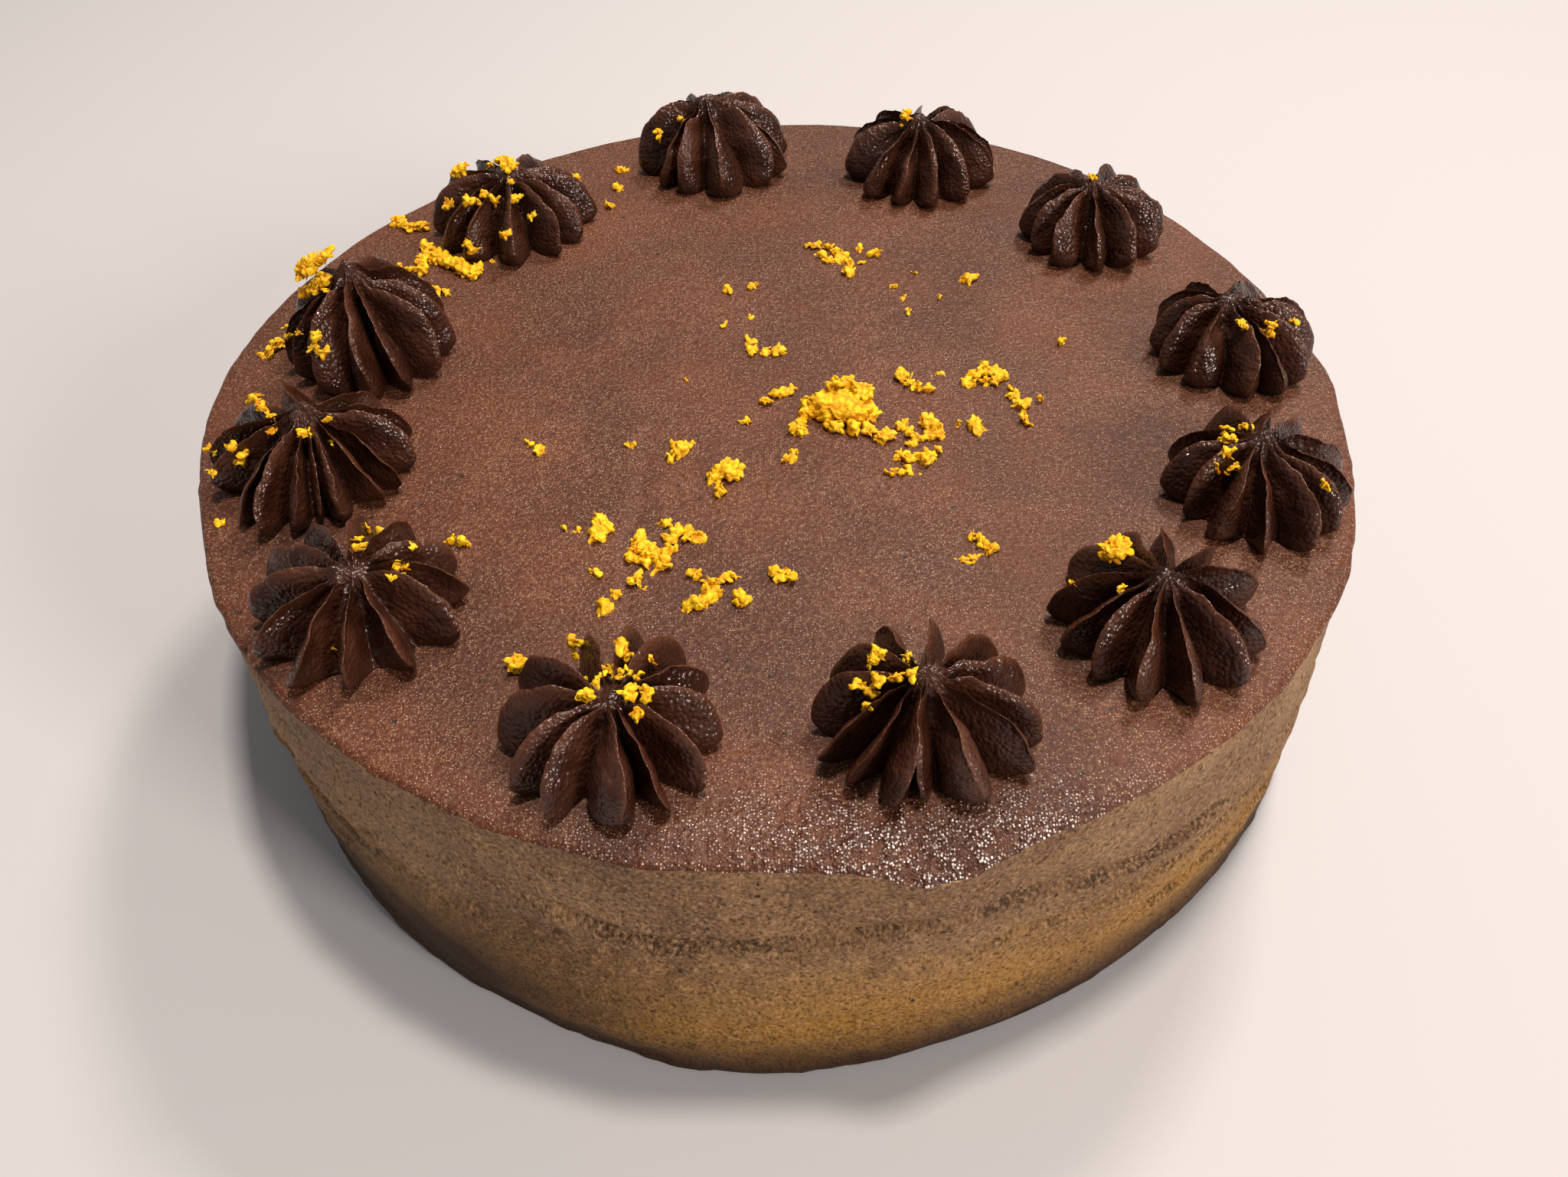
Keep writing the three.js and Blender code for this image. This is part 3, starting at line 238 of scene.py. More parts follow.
# The same on the rosettes, by the rosette's number; places are from its middle.
ROSETTE_ZEST = {
    1: (
        heap((-6.5, -2.6), (0.5, 0.5), 2, (1.5, 1.8), (0, 0.6)),
        heap((-11.3, -4.1), (0.5, 0.5), 2, (1.5, 1.8), (0, 0.6)),
    ),
    2: (
        heap((-3.9, -0.1), (1, 1), 4, (2.1, 3.4), (0, 1.1)),
    ),
    3: (
        heap((-1.3, 0.3), (0.6, 0.6), 2, (1.5, 2.1), (0, 0.7)),
    ),
    4: (
        one(-1.8, -6.7, 2.2), heap((3.3, -6.3), (0.7, 0.7), 2, (1.5, 2.4), (0, 0.8)),
        one(8.6, -2.6, 1.6),
    ),
    5: (
        heap((-6.1, 3), (0.7, 0.7), 2, (1.6, 2.5), (0, 0.8)), one(-2.9, 3.8, 2),
        heap((-6.2, 0.2), (0.7, 0.7), 2, (1.7, 2.6), (0, 0.9)), one(-7.2, -2.8, 1.9),
        one(-8.5, -3.8, 1.4), one(-5.5, -2.9, 1.7), one(-6.9, -3.5, 1.2), one(7.4, -8, 1.4),
    ),
    6: (
        heap((-6.4, 6.9), (1.3, 1.3), 6, (2.6, 3.6), (0, 1.4)), one(-12.6, 1.5, 1.3),
        one(-7, -2.3, 1.3),
    ),
    7: (
        heap((-6, 3.3), (0.5, 0.5), 2, (1.5, 1.8), (0, 0.6)), one(-7.2, 3, 2.1),
        heap((-2.7, 2.9), (0.5, 0.5), 2, (1.5, 2), (0, 0.7)), one(-2.8, -1, 1.8),
        one(-6.9, -0.6, 2.4), one(-4.6, -0.9, 2.4), one(-9.5, -0.8, 2), one(-7.7, -1.3, 2),
        one(-8.6, -4.4, 1.6),
    ),
    8: (
        heap((-0.6, 5.9), (0.6, 0.6), 2, (1.5, 2.1), (0, 0.7)),
        heap((1.9, 6.4), (0.8, 0.8), 2, (1.8, 2.8), (0, 0.9)),
        heap((3.3, 3.3), (0.6, 0.6), 2, (1.5, 2.2), (0, 0.7)),
        heap((1.3, 3.6), (0.6, 0.6), 2, (1.5, 2.2), (0, 0.7)), one(-3.4, 6, 1),
        heap((-2.6, -0.5), (0.6, 0.6), 2, (1.5, 2.1), (0, 0.7)), one(-1, 2.3, 2),
        one(3.4, -0.7, 2.4), heap((5.6, -1), (0.6, 0.6), 2, (1.5, 2), (0, 0.7)),
        one(4.4, -3.9, 2.4), one(-5.5, 11.8, 1.9), one(-5.5, 10.5, 1.9), one(5.6, 6.6, 1.2),
    ),
    9: (
        one(0.4, 6.2, 1.1), one(0.8, 4.5, 1.4), one(-0.6, 13.9, 1.1), one(8.3, 4.9, 1.1),
        one(7.8, 1.1, 1.8), one(7.2, -1.9, 1.1), one(7.9, 0.6, 1.3), one(-0.8, -10, 0.8),
    ),
    10: (
        one(-7.3, 4.4, 2), one(-5.2, 1.1, 2), one(-4.2, -1.1, 1.7), one(1.4, -3.2, 2.2),
        one(4.4, -0.2, 1.3), one(5.7, -3.8, 0.9), one(-16, 0.1, 2), one(-15.4, -0.5, 1.2),
        one(-10.4, -4.6, 2), one(-8.5, -4.4, 2.4), one(-10, -5.2, 1.9), one(-14.4, -5.9, 1.7),
        row((-9.8, 7), (-8.4, 5.6), (0, 0), 2, (1.6, 2), (0.8, 1.4)), one(-5.3, 5.1, 1.8),
        one(-10.6, 1.8, 1.2),
    ),
    11: (
        row((-8.5, 1.1), (-4.7, 0.6), (0.5, 0.8), 4, (3, 3.8), (2.6, 4.2)),
        row((-8.8, 1), (-5.4, 1.2), (0.4, 0.8), 3, (3.2, 3.8), (0.4, 1.6)), one(-4, -2.4, 1.1),
        one(-12.8, -4, 1.4), one(-12.7, -4.9, 1.6),
        heap((-4.8, -11.3), (0.7, 0.7), 2, (1.5, 2.4), (0, 0.8)),
        heap((-5.7, -11.8), (0.5, 0.5), 2, (1.5, 1.8), (0, 0.6)), one(-8.9, -8.1, 1.6),
        one(-4.3, -11.3, 2.1),
    ),
    12: (
        heap((-10.8, 4.3), (1, 1), 4, (2.2, 3.4), (0, 1.1)),
        heap((-3.6, 4.3), (0.5, 0.5), 2, (1.5, 1.7), (0, 0.6)),
        heap((0.3, 1.2), (1, 1), 4, (2.2, 3.5), (0, 1.2)),
        heap((1.3, -2.9), (0.6, 0.6), 2, (1.5, 2.1), (0, 0.7)),
        heap((-4.4, -5.9), (0.7, 0.7), 2, (1.6, 2.5), (0, 0.8)), one(-12.5, -3.8, 2.5),
        one(-6.9, -7.7, 2.5), one(-2.2, -6.8, 2.5),
        heap((-6.9, -15), (0.9, 0.9), 3, (2, 3.2), (0, 1.1)), one(1.4, -15.7, 2.4),
        one(5.2, -8.7, 1.8), one(2.3, -8, 2.5), one(-2.4, -14.6, 1.5),
        heap((-1.1, 2.2), (0.3, 0.3), 2, (2.4, 2.8), (0.8, 1.8)),
    ),
}
ZEST_SEED = 20
CRUMB_SUNK = 0.28
CRUMB_REST = 0.42  # share of its size from its middle at which a crumb rests on a crest
RESTS_HIGH = 0.8  # how far its height is that of the crests round it, not of what is under it
FINER_OVER = 2.9  # size over which a crumb's mesh is finer, and over which it is finest
FINEST_OVER = 6.0


# ---- small helpers --------------------------------------------------------------------------
def srgb(code):
    """Linear RGBA of a colour written as sRGB hex."""
    channels = [int(code[i : i + 2], 16) / 255 for i in (1, 3, 5)]
    linear = [c / 12.92 if c <= 0.04045 else ((c + 0.055) / 1.055) ** 2.4 for c in channels]
    return (*linear, 1.0)


def mix(a, b, share):
    return a + (b - a) * share


def smooth_step(value):
    t = np.clip(value, 0.0, 1.0)
    return t * t * (3 - 2 * t)


class Draws:
    """Repeatable draws: the same seed gives the same numbers every time."""

    def __init__(self, seed):
        self.state = seed
        self.next()
        self.next()

    def next(self):
        self.state = (self.state * 1664525 + 1013904223) % 4294967296
        return self.state / 4294967296

    def around(self, half_width):
        return (self.next() * 2 - 1) * half_width


def lattice(x, y, z, seed):
    """A repeatable value from -1 to 1 for each whole-number place."""
    n = (x * 374761393 + y * 668265263 + z * 1442695041 + seed * 69069) & 0xFFFFFFFF
    n = ((n ^ (n >> 13)) * 1274126177) & 0xFFFFFFFF
    n = ((n ^ (n >> 16)) * 60493) & 0xFFFFFFFF
    return (n & 0xFFFFFF) / 0x7FFFFF - 1.0


def noise(points, size, seed=0):
    """Smooth noise from -1 to 1, with features of about this size, at each row of points."""
    places = points / size
    base = np.floor(places).astype(np.int64)
    part = places - base
    part = part * part * (3 - 2 * part)
    total = np.zeros(len(points))
    for dx in (0, 1):
        for dy in (0, 1):
            for dz in (0, 1):
                weight = (
                    np.abs(1 - dx - part[:, 0])
                    * np.abs(1 - dy - part[:, 1])
                    * np.abs(1 - dz - part[:, 2])
                )
                total += weight * lattice(base[:, 0] + dx, base[:, 1] + dy, base[:, 2] + dz, seed)
    return total


def flat_points(x, y):
    return np.stack([x, y, np.zeros_like(x)], axis=1)


# ---- meshes ---------------------------------------------------------------------------------
SECTORS = 14  # a blank's columns are a multiple of this


def spin_blank(rings, columns):
    """A closed spindle of unit size. Ring i lies at z = -i / (rings - 1), so that every vertex
    still tells its ring and its column when it is moved to its real place. One sector is spun
    and then repeated, because that is much quicker than one long spin."""
    bm = bmesh.new()
    chain = []
    for i in range(rings):
        share = i / (rings - 1)
        chain.append(bm.verts.new((math.sin(math.pi * share), 0, -share)))
    edges = [bm.edges.new(pair) for pair in zip(chain, chain[1:])]
    centre = dict(cent=(0, 0, 0), axis=(0, 0, 1))
    sector = math.tau / SECTORS
    bmesh.ops.spin(bm, geom=chain + edges, angle=sector, steps=columns // SECTORS, **centre)
    whole = bm.verts[:] + bm.edges[:] + bm.faces[:]
    others = dict(angle=math.tau - sector, steps=SECTORS - 1, use_duplicate=True)
    bmesh.ops.spin(bm, geom=whole, **others, **centre)
    bmesh.ops.remove_doubles(bm, verts=bm.verts, dist=1e-5)
    return bm


def blank_places(bm, rings, columns):
    """Ring and column of every vertex of a blank, in the order of its vertices."""
    corners = np.array([v.co[:] for v in bm.verts])
    ring = np.rint(-corners[:, 2] * (rings - 1)).astype(int)
    angle = np.arctan2(corners[:, 1], corners[:, 0]) % math.tau
    column = np.rint(angle / math.tau * columns).astype(int) % columns
    return ring, column


def move_vertices(bm, places):
    """Puts every vertex at its row of places, given in millimetres."""
    for vertex, place in zip(bm.verts, places * MM):
        vertex.co = place


def finished(bm, name, material):
    """Turns a bmesh into a smooth object with one material."""
    bmesh.ops.recalc_face_normals(bm, faces=bm.faces)
    mesh = bpy.data.meshes.new(name)
    bm.to_mesh(mesh)
    bm.free()
    mesh.polygons.foreach_set("use_smooth", [True] * len(mesh.polygons))
    mesh.materials.append(material)
    piece = bpy.data.objects.new(name, mesh)
    bpy.context.scene.collection.objects.link(piece)
    return piece


def keep_values(piece, name, values):
    """Keeps a value from 0 to 1 at every vertex, for the material."""
    kept = piece.data.attributes.new(name, "FLOAT", "POINT")
    kept.data.foreach_set("value", np.clip(values, 0, 1).astype(np.float32))


# ---- the frosted cake -----------------------------------------------------------------------
def swell(swells, bearing):
    out = np.zeros_like(bearing)
    for middle, spread, height in swells:
        off = (bearing - middle + 180) % 360 - 180
        out += height * np.exp(-((off / spread) ** 2))
    return out


def line_distance(x, y, line):
    """Distance of each place to a line of points, and which side of it the place is on."""
    best = np.full_like(x, 1e9)
    side = np.ones_like(x)
    for (ax, ay), (bx, by) in zip(line, line[1:]):
        length = math.hypot(bx - ax, by - ay)
        ux, uy = (bx - ax) / length, (by - ay) / length
        along = np.clip((x - ax) * ux + (y - ay) * uy, 0, length)
        off_x, off_y = x - ax - along * ux, y - ay - along * uy
        distance = np.hypot(off_x, off_y)
        nearer = distance < best
        best = np.where(nearer, distance, best)
        side = np.where(nearer, np.sign(off_x * uy - off_y * ux), side)
    return best, side


# Lines on the top, as points: where the palette knife's strokes overlap, cracks, and a rough pit.
KNIFE_LAP = (
    (-23.5, -15), (-23.0, -26), (-23.0, -35), (-24.2, -41),
    (-23.6, -49), (-23.2, -57), (-22.2, -62.5), (-20.0, -64.5),
)
RIM_CRACKS = (
    ((92.0, 13.0), (93.2, 10.0), (93.6, 4.0), (94.4, -2.0)),
    ((84.0, -50.0), (88.0, -46.5), (93.0, -44.0)),
)
ROUGH_PIT = (-1.0, -79.5)
RIM_DROOP = 0.35  # how far the top sinks at its rim, and how much further in front
FRONT_DROOP = 1.9
DROOP_BEARING = -77
DROOP_SPREAD = 17
DROOP_FROM = 92  # radius at which the top begins to sink


def top_relief(x, y):
    """Height of the top's surface over a flat disc: palette knife waves, a lap, pits, cracks."""
    places = flat_points(x, y)
    radius = np.hypot(x, y)
    relief = noise(places, 42, 3) * 0.35 + noise(places, 15, 4) * 0.12
    stroke_x = x * 0.94 + y * 0.34
    stroke_y = y * 0.94 - x * 0.34 + 0.004 * x * x
    relief += noise(flat_points(stroke_x / 34, stroke_y / 4.6), 1, 5) * 0.10
    turned = flat_points(np.arctan2(y, x) * 5.5, radius / 3.2)
    relief += noise(turned, 1, 6) * 0.10 * smooth_step((radius - 55) / 30)
    relief += noise(places, 3.0, 7) * 0.02
    distance, side = line_distance(x, y, KNIFE_LAP)
    relief += 0.42 * np.exp(-np.maximum(distance * side, 0) / 7) * (side > 0) * smooth_step(distance / 0.9)
    relief -= 0.30 * np.exp(-((distance / 0.8) ** 2))
    for crack in RIM_CRACKS:
        distance, _ = line_distance(x, y, crack)
        relief -= 0.5 * np.exp(-((distance / 0.6) ** 2))
    bearing = np.degrees(np.arctan2(y, x))
    droop = RIM_DROOP + FRONT_DROOP * np.exp(-(((bearing - DROOP_BEARING) / DROOP_SPREAD) ** 2))
    relief -= droop * smooth_step((radius - DROOP_FROM) / (CAKE_RADIUS - DROOP_FROM) / 2) * 2
    pit = np.hypot(x - ROUGH_PIT[0], y - ROUGH_PIT[1])
    relief += noise(places, 1.5, 8) * 0.7 * np.exp(-((pit / 4.5) ** 2))
    return relief


# Edges where the scraper lifted and began again: lines of a bearing and a height. Along such a
# line the frosting is torn open, and the frosting under it stands out as a shelf.
SCRAPER_EDGES = (
    (
        (-114, 40.5), (-106, 38.6), (-101, 37.0), (-94, 37.4), (-86, 38.4),
        (-79, 41.4), (-72, 40.4), (-60, 35.5), (-44, 34.0),
    ),
    ((-84, 33.2), (-76, 30.2), (-68, 29.4), (-60, 27.6), (-48, 27.0), (-36, 25.0)),
    ((-62, 17.0), (-52, 16.2), (-40, 15.8), (-28, 14.0)),
    ((-160, 30.0), (-148, 31.0), (-136, 29.0), (-124, 29.5)),
    ((36, 35.0), (58, 37.0), (84, 34.5), (108, 36.5), (130, 34.0)),
    ((150, 22.0), (168, 24.0), (186, 22.5)),
)
EDGE_DROPS = (1.5, 1.1, 0.8, 0.8, 1.1, 0.8)  # how deep each is torn
EDGE_TAPER = 14  # length over which an edge fades in and out
DENT = ((-72.3, 11.7), (-69.2, 12.6))
RIM_NICK = ((-94.6, 56.4), (-93.2, 54.6), (-92.6, 53.0))
MM_PER_DEGREE = math.pi * CAKE_RADIUS / 180


def on_the_side(line):
    return [(bearing * MM_PER_DEGREE, height) for bearing, height in line]


def round_points(bearing, height):
    """Places on the cake's side, so that noise on it runs on where the bearings begin again."""
    turn = np.radians(bearing)
    return np.stack([np.cos(turn) * CAKE_RADIUS, np.sin(turn) * CAKE_RADIUS, height], axis=1)


def scraper_edges(bearing, height):
    """For each of the edges: how far away it is, on which side of it a place is, and its strength."""
    places = round_points(bearing, height)
    ragged = height + noise(places, 3.5, 17) * 0.7 + noise(places, 1.6, 18) * 0.3
    arc = bearing * MM_PER_DEGREE
    for line in SCRAPER_EDGES:
        line = on_the_side(line)
        distance, side = line_distance(arc, ragged, line)
        begun = smooth_step((arc - line[0][0]) / EDGE_TAPER)
        yield distance, side, begun * smooth_step((line[-1][0] - arc) / EDGE_TAPER)


def side_relief(bearing, height):
    """How far the side stands out of its plain form: bands, edges and strokes of the scraper."""
    turn = np.radians(bearing)
    level = round_points(bearing, height * 0)
    grain = round_points(bearing, height)
    around_x, around_y = grain[:, 0], grain[:, 1]
    flow = height - 2.5 * np.sin(turn * 2 + 0.7)
    out = np.sin(turn * 3 + height * 0.09) * 0.3
    long_strokes = np.stack([around_x / 34, around_y / 34, flow / 3.4], axis=1)
    out += noise(long_strokes, 1, 11) * 0.42
    short_strokes = np.stack([around_x / 9, around_y / 9, flow / 1.7], axis=1)
    out += noise(short_strokes, 1, 12) * 0.32
    out += noise(grain, 2.2, 13) * 0.26
    for (distance, side, ends), drop in zip(scraper_edges(bearing, height), EDGE_DROPS):
        shelf = np.exp(-distance / 3.5) * (side > 0) * smooth_step(distance / 1.2)
        crack = np.exp(-((distance / 0.8) ** 2))
        out += drop * ends * (shelf * 0.9 - crack)
    reach = smooth_step((noise(level, 60, 15) + 0.55) / 0.4)
    under = height - 35 - noise(level, 22, 14) * 3
    pitted = reach * smooth_step(-under / 2) * smooth_step((under + 13) / 6)
    out += noise(grain, 1.9, 16) * 0.8 * pitted
    for line, depth in ((DENT, 1.1), (RIM_NICK, 0.8)):
        distance, _ = line_distance(bearing * MM_PER_DEGREE, height, on_the_side(line))
        out -= depth * np.exp(-((distance / 0.8) ** 2))
    return out


def torn_open(bearing, height):
    """How near a place is to a torn edge, from 0 away from it to 1 in it; painted shade goes there."""
    torn = np.zeros_like(height)
    for distance, side, ends in scraper_edges(bearing, height):
        torn = np.maximum(torn, ends * np.exp(-((distance / np.where(side > 0, 1.9, 0.9)) ** 2)))
    return torn * smooth_step(0.5 + 1.6 * noise(round_points(bearing, height), 5.0, 19))


def cake_profile():
    """Rings of the cake from the middle of the top, over the rim, down to the middle of the foot."""
    flat = CAKE_RADIUS - RIM_ROUNDING
    across = (*np.arange(0, 20, 2.0), *np.arange(20, 80, 1.35), *np.arange(80, flat - 0.3, 0.72))
    rings = [(r, CAKE_HEIGHT) for r in across]
    for turn in np.linspace(0, math.pi / 2, 9):
        over, down = math.sin(turn), 1 - math.cos(turn)
        rings.append((flat + RIM_ROUNDING * over, CAKE_HEIGHT - RIM_ROUNDING * down))
    rings += [(CAKE_RADIUS, z) for z in np.arange(CAKE_HEIGHT - RIM_ROUNDING - 0.3, 54.5, -0.35)]
    rings += [(CAKE_RADIUS, z) for z in np.arange(54.2, 1.6, -0.82)]
    rings += [(CAKE_RADIUS, FOOT_ROUNDING), (CAKE_RADIUS - 0.25, 0.3), (CAKE_RADIUS - FOOT_ROUNDING, 0.0)]
    rings += [(r, 0.0) for r in (90, 70, 45, 20, 0)]
    return np.array(rings)


def rim_lip(bearing):
    """How far the knife has dragged the top's frosting out over the side."""
    places = round_points(bearing, bearing * 0)
    everywhere = 0.45 + 0.3 * noise(places, 9, 21) + 0.2 * noise(places, 2.6, 23)
    dragged = 0.9 * np.exp(-(((bearing + 75) / 13) ** 2)) * (0.8 + 0.4 * noise(places, 5, 22))
    return np.maximum(everywhere + dragged, 0)


def frosting_shape(ring, column):
    """Place of every vertex of the frosted cake."""
    profile = cake_profile()
    radius, height = profile[ring, 0], profile[ring, 1]
    angle = column / CAKE_COLUMNS * math.tau
    bearing = (np.degrees(angle) + 180) % 360 - 180
    share = smooth_step(height / CAKE_HEIGHT)
    outline = mix(swell(FOOT_SWELLS, bearing), swell(RIM_SWELLS, bearing), share)
    at_edge = smooth_step(radius / CAKE_RADIUS) ** 2

    on_side = (radius >= CAKE_RADIUS - 0.01) & (height > 0.1)
    near_rim = np.exp(-(((height - CAKE_HEIGHT + RIM_ROUNDING * 0.8) / 0.9) ** 2))
    near_rim *= radius > CAKE_RADIUS - 1.6
    scraped = side_relief(bearing, height) * on_side * smooth_step((CAKE_HEIGHT - 1.2 - height) / 2.5)
    out = outline * at_edge + scraped + rim_lip(bearing) * near_rim
    far = radius + out
    x, y = far * np.cos(angle), far * np.sin(angle)
    on_top = smooth_step((height - CAKE_HEIGHT + 3.5) / 3.5)
    return np.stack([x, y, height + top_relief(x, y) * on_top], axis=1)


def frosted_cake(material):
    rings = len(cake_profile())
    bm = spin_blank(rings, CAKE_COLUMNS)
    ring, column = blank_places(bm, rings, CAKE_COLUMNS)
    move_vertices(bm, frosting_shape(ring, column))
    piece = finished(bm, "frosted_cake_look", material)
    radius, height = cake_profile()[ring, 0], cake_profile()[ring, 1]
    keep_values(piece, "side", (SIDE_FROM - height) / SIDE_OVER)
    bearing = (column / CAKE_COLUMNS * 360 + 180) % 360 - 180
    # the torn edges, kept for the painted shade that the material puts in them
    keep_values(piece, "torn", torn_open(bearing, height) * (radius >= CAKE_RADIUS - 0.01))
    return piece


# ---- one rosette ----------------------------------------------------------------------------
def drawn_fins(rosette):
    """Rows like those of SHAPED_FINS, drawn by chance, and how much higher than most each fin is."""
    draws = Draws(rosette["seed"])
    count = rosette["fins"]
    pitch = 360 / count
    bearings = [rosette["turn"] + pitch * i + draws.around(FIN_SWING) for i in range(count)]
    rest = [[draws.around(w) for w in (FIN_REACH, FIN_RISE, FIN_LEAN, FIN_GIRTH)] for _ in range(count)]
    rows = []
    for i, (bearing, (reach, rise, lean, girth)) in enumerate(zip(bearings, rest)):
        cleft = 0.5 + (girth - rest[(i + 1) % count][3]) / 2
        rows.append((bearing, lean * pitch, reach, rosette["full"] + girth * PLUMP_BY_GIRTH, cleft, rise))
    return rows


def make_fins(number):
    """Every fin of a rosette, as in the CAD: its bearing, bow, reach, plumpness and rise, and the
    bearings of the gaps on either side."""
    shaped = SHAPED_FINS.get(number)
    rows = [(*row, 0) for row in shaped] if shaped else drawn_fins(ROSETTES[number - 1])
    bearing, bow, reach, plump, cleft, rise = np.array(rows, dtype=float).T
    following = np.append(bearing[1:], bearing[0] + 360)
    after = mix(bearing, following, cleft)
    before = np.append(after[-1] - 360, after[:-1])
    plump = np.clip(plump, 0, 1)
    return dict(bearing=bearing, before=before, after=after, reach=reach, rise=rise, bow=bow, plump=plump)


def ridge_at(side, half_width):
    """How near the crest a place is, from 1 on it to 0 in the gap, across a fin of this half width."""
    low = 1 / (1 + 1 / half_width**2)
    return np.maximum((1 / (1 + (side / half_width) ** 2) - low) / (1 - low), 0)


def fin_points(rosette, fins, fin, across, along):
    """Points of the rosette from its middle, and how near the crest each is. across: -1 to 1, from
    the gap on one side over the crest to the gap on the other. along: 0 at the peak, 1 at the toe."""
    side = np.abs(across)
    here = fins["bearing"][fin]
    edge = np.where(across < 0, fins["before"][fin], fins["after"][fin])
    turn = along * math.pi / 2

    grown = smooth_step(along / HUB_GROWTH)
    swollen = fins["plump"][fin] * smooth_step((along - PLUMP_FROM) / PLUMP_OVER)
    ridge = ridge_at(side, mix(THIN_FIN, THICK_FIN, swollen))
    ridge = mix(ridge, np.sqrt(np.maximum(1 - side**2, 0)), ROUND_TOES * swollen)
    lift = 1 - grown * (1 - ridge)

    crest_out = np.sin(turn) ** CREST_LEVEL * (1 + fins["reach"][fin] * grown)
    crest_up = np.maximum(np.cos(turn), 0) ** CREST_LEVEL * (1 + fins["rise"][fin] * grown)
    out = mix(rosette["gap"] * along**GAP_OUT, crest_out, lift)
    up = mix(GAP_TOP * (1 - along) ** GAP_UP, crest_up, lift)

    bow = fins["bow"][fin] * ridge * np.sin(math.pi * along)
    bearing = np.radians(mix(here, edge, side) + bow)
    radius = out * rosette["width"] / 2
    toward_tip = (1 - along) ** 2
    hollow = rosette["pull"] < 0
    pull = rosette["pull"] * (HOLLOW_DEPTH if hollow else 1)
    peak = pull * np.exp(-((out / (HOLLOW_WIDTH if hollow else PEAK_WIDTH)) ** 2))
    return np.stack(
        [
            radius * np.cos(bearing) + rosette["tip"][0] * toward_tip,
            radius * np.sin(bearing) + rosette["tip"][1] * toward_tip,
            np.maximum(up * rosette["height"] + peak, 0),
        ],
        axis=1,
    ), ridge


LIP_HEIGHT = 0.8  # of the thin line of chocolate that stands along a crest
LIP_WIDTH = 0.09
HUB_RADIUS = 4.2  # within it the chocolate tore as the nozzle lifted
TOE_BELLY = 2.4  # height up to which a toe bellies out over its foot
TOE_TUCK = 1.5
CREST_WIDTH = 0.13  # across a fin, of the lighter band along its crest: partly drier chocolate, partly a painted highlight


def rosette_shape(number, rosette, fins, ring, column):
    """Place of every vertex of a piped rosette: fins with torn crests, and toes that curl under."""
    across = (column % FIN_COLUMNS) / FIN_COLUMNS * 2 - 1
    across = np.sign(across) * np.abs(across) ** 1.3
    side = np.abs(across)
    fin = column // FIN_COLUMNS
    share = ring / (ROSETTE_RINGS - 1)
    along = np.clip(share / TOE_SHARE, 0, 1)
    points, ridge = fin_points(rosette, fins, fin, across, along)

    seed = 100 * number
    spread = points + np.array([*rosette["at"], 0])
    grown = smooth_step(along / 0.22)
    standing = grown * (1 - along**5)
    torn = noise(spread, 0.8, seed) * 0.22 + noise(spread, 2.2, seed + 1) * 0.26
    lip = np.exp(-((side / LIP_WIDTH) ** 2))
    points[:, 2] += (LIP_HEIGHT * (0.75 + 0.8 * noise(spread, 4.0, seed + 4)) + torn) * lip * standing
    radius = np.hypot(points[:, 0], points[:, 1])
    outward = points[:, :2] / np.maximum(radius, 0.5)[:, None]
    tangent = np.stack([-outward[:, 1], outward[:, 0]], axis=1)
    curl = np.sign(fins["bow"][fin] + 0.1) * 0.7 * lip * standing
    wander = noise(spread, 4.5, seed + 2) * 0.6 + noise(spread, 1.8, seed + 5) * 0.22
    points[:, :2] += tangent * (curl + wander * ridge * grown)[:, None]

    face = grown * smooth_step(side / 0.25)
    flow = np.stack([fin * 7.0 + across * 2.4, along * 3.2, across * 0], axis=1)
    ripples = noise(flow, 1, seed + 6) * 0.32 + noise(spread, 1.1, seed + 3) * 0.16
    points[:, 2] += ripples * face * (1 - along**4)
    hub = np.exp(-((radius / HUB_RADIUS) ** 4))
    points[:, 2] += (noise(spread, 2.0, seed + 8) * 0.9 + noise(spread, 0.9, seed + 9) * 0.45) * hub
    points[:, :2] += outward * (noise(spread, 2.6, seed + 7) * 0.3 * grown)[:, None]

    low = (1 - np.clip(points[:, 2] / TOE_BELLY, 0, 1)) ** 2
    points[:, :2] -= outward * (TOE_TUCK * low * np.sqrt(ridge))[:, None]
    under = np.clip((share - TOE_SHARE) / (1 - TOE_SHARE), 0, 1)
    tucked = 1 - 0.05 * smooth_step(under / 0.35) - 0.95 * smooth_step((under - 0.5) / 0.5)
    points[:, :2] *= np.where(under > 0, tucked, 1)[:, None]
    points[:, 2] -= 1.3 * smooth_step(under / 0.4)
    return points


def piped_rosette(number, rosette, material):
    fins = make_fins(number)
    columns = len(fins["bearing"]) * FIN_COLUMNS
    bm = spin_blank(ROSETTE_RINGS, columns)
    ring, column = blank_places(bm, ROSETTE_RINGS, columns)
    places = rosette_shape(number, rosette, fins, ring, column)
    places += np.array([*rosette["at"], CAKE_HEIGHT + HOVER])
    move_vertices(bm, places)
    piece = finished(bm, f"rosette_{number:02d}_look", material)
    from_crest = np.abs((column % FIN_COLUMNS) / FIN_COLUMNS * 2 - 1)
    standing = smooth_step(ring / (ROSETTE_RINGS - 1) / 0.2) * (ring < ROSETTE_RINGS * 0.75)
    # kept for the lighter colour along the crests, partly a painted highlight
    keep_values(piece, "crest", np.exp(-((from_crest / CREST_WIDTH) ** 2)) * standing)
    return piece


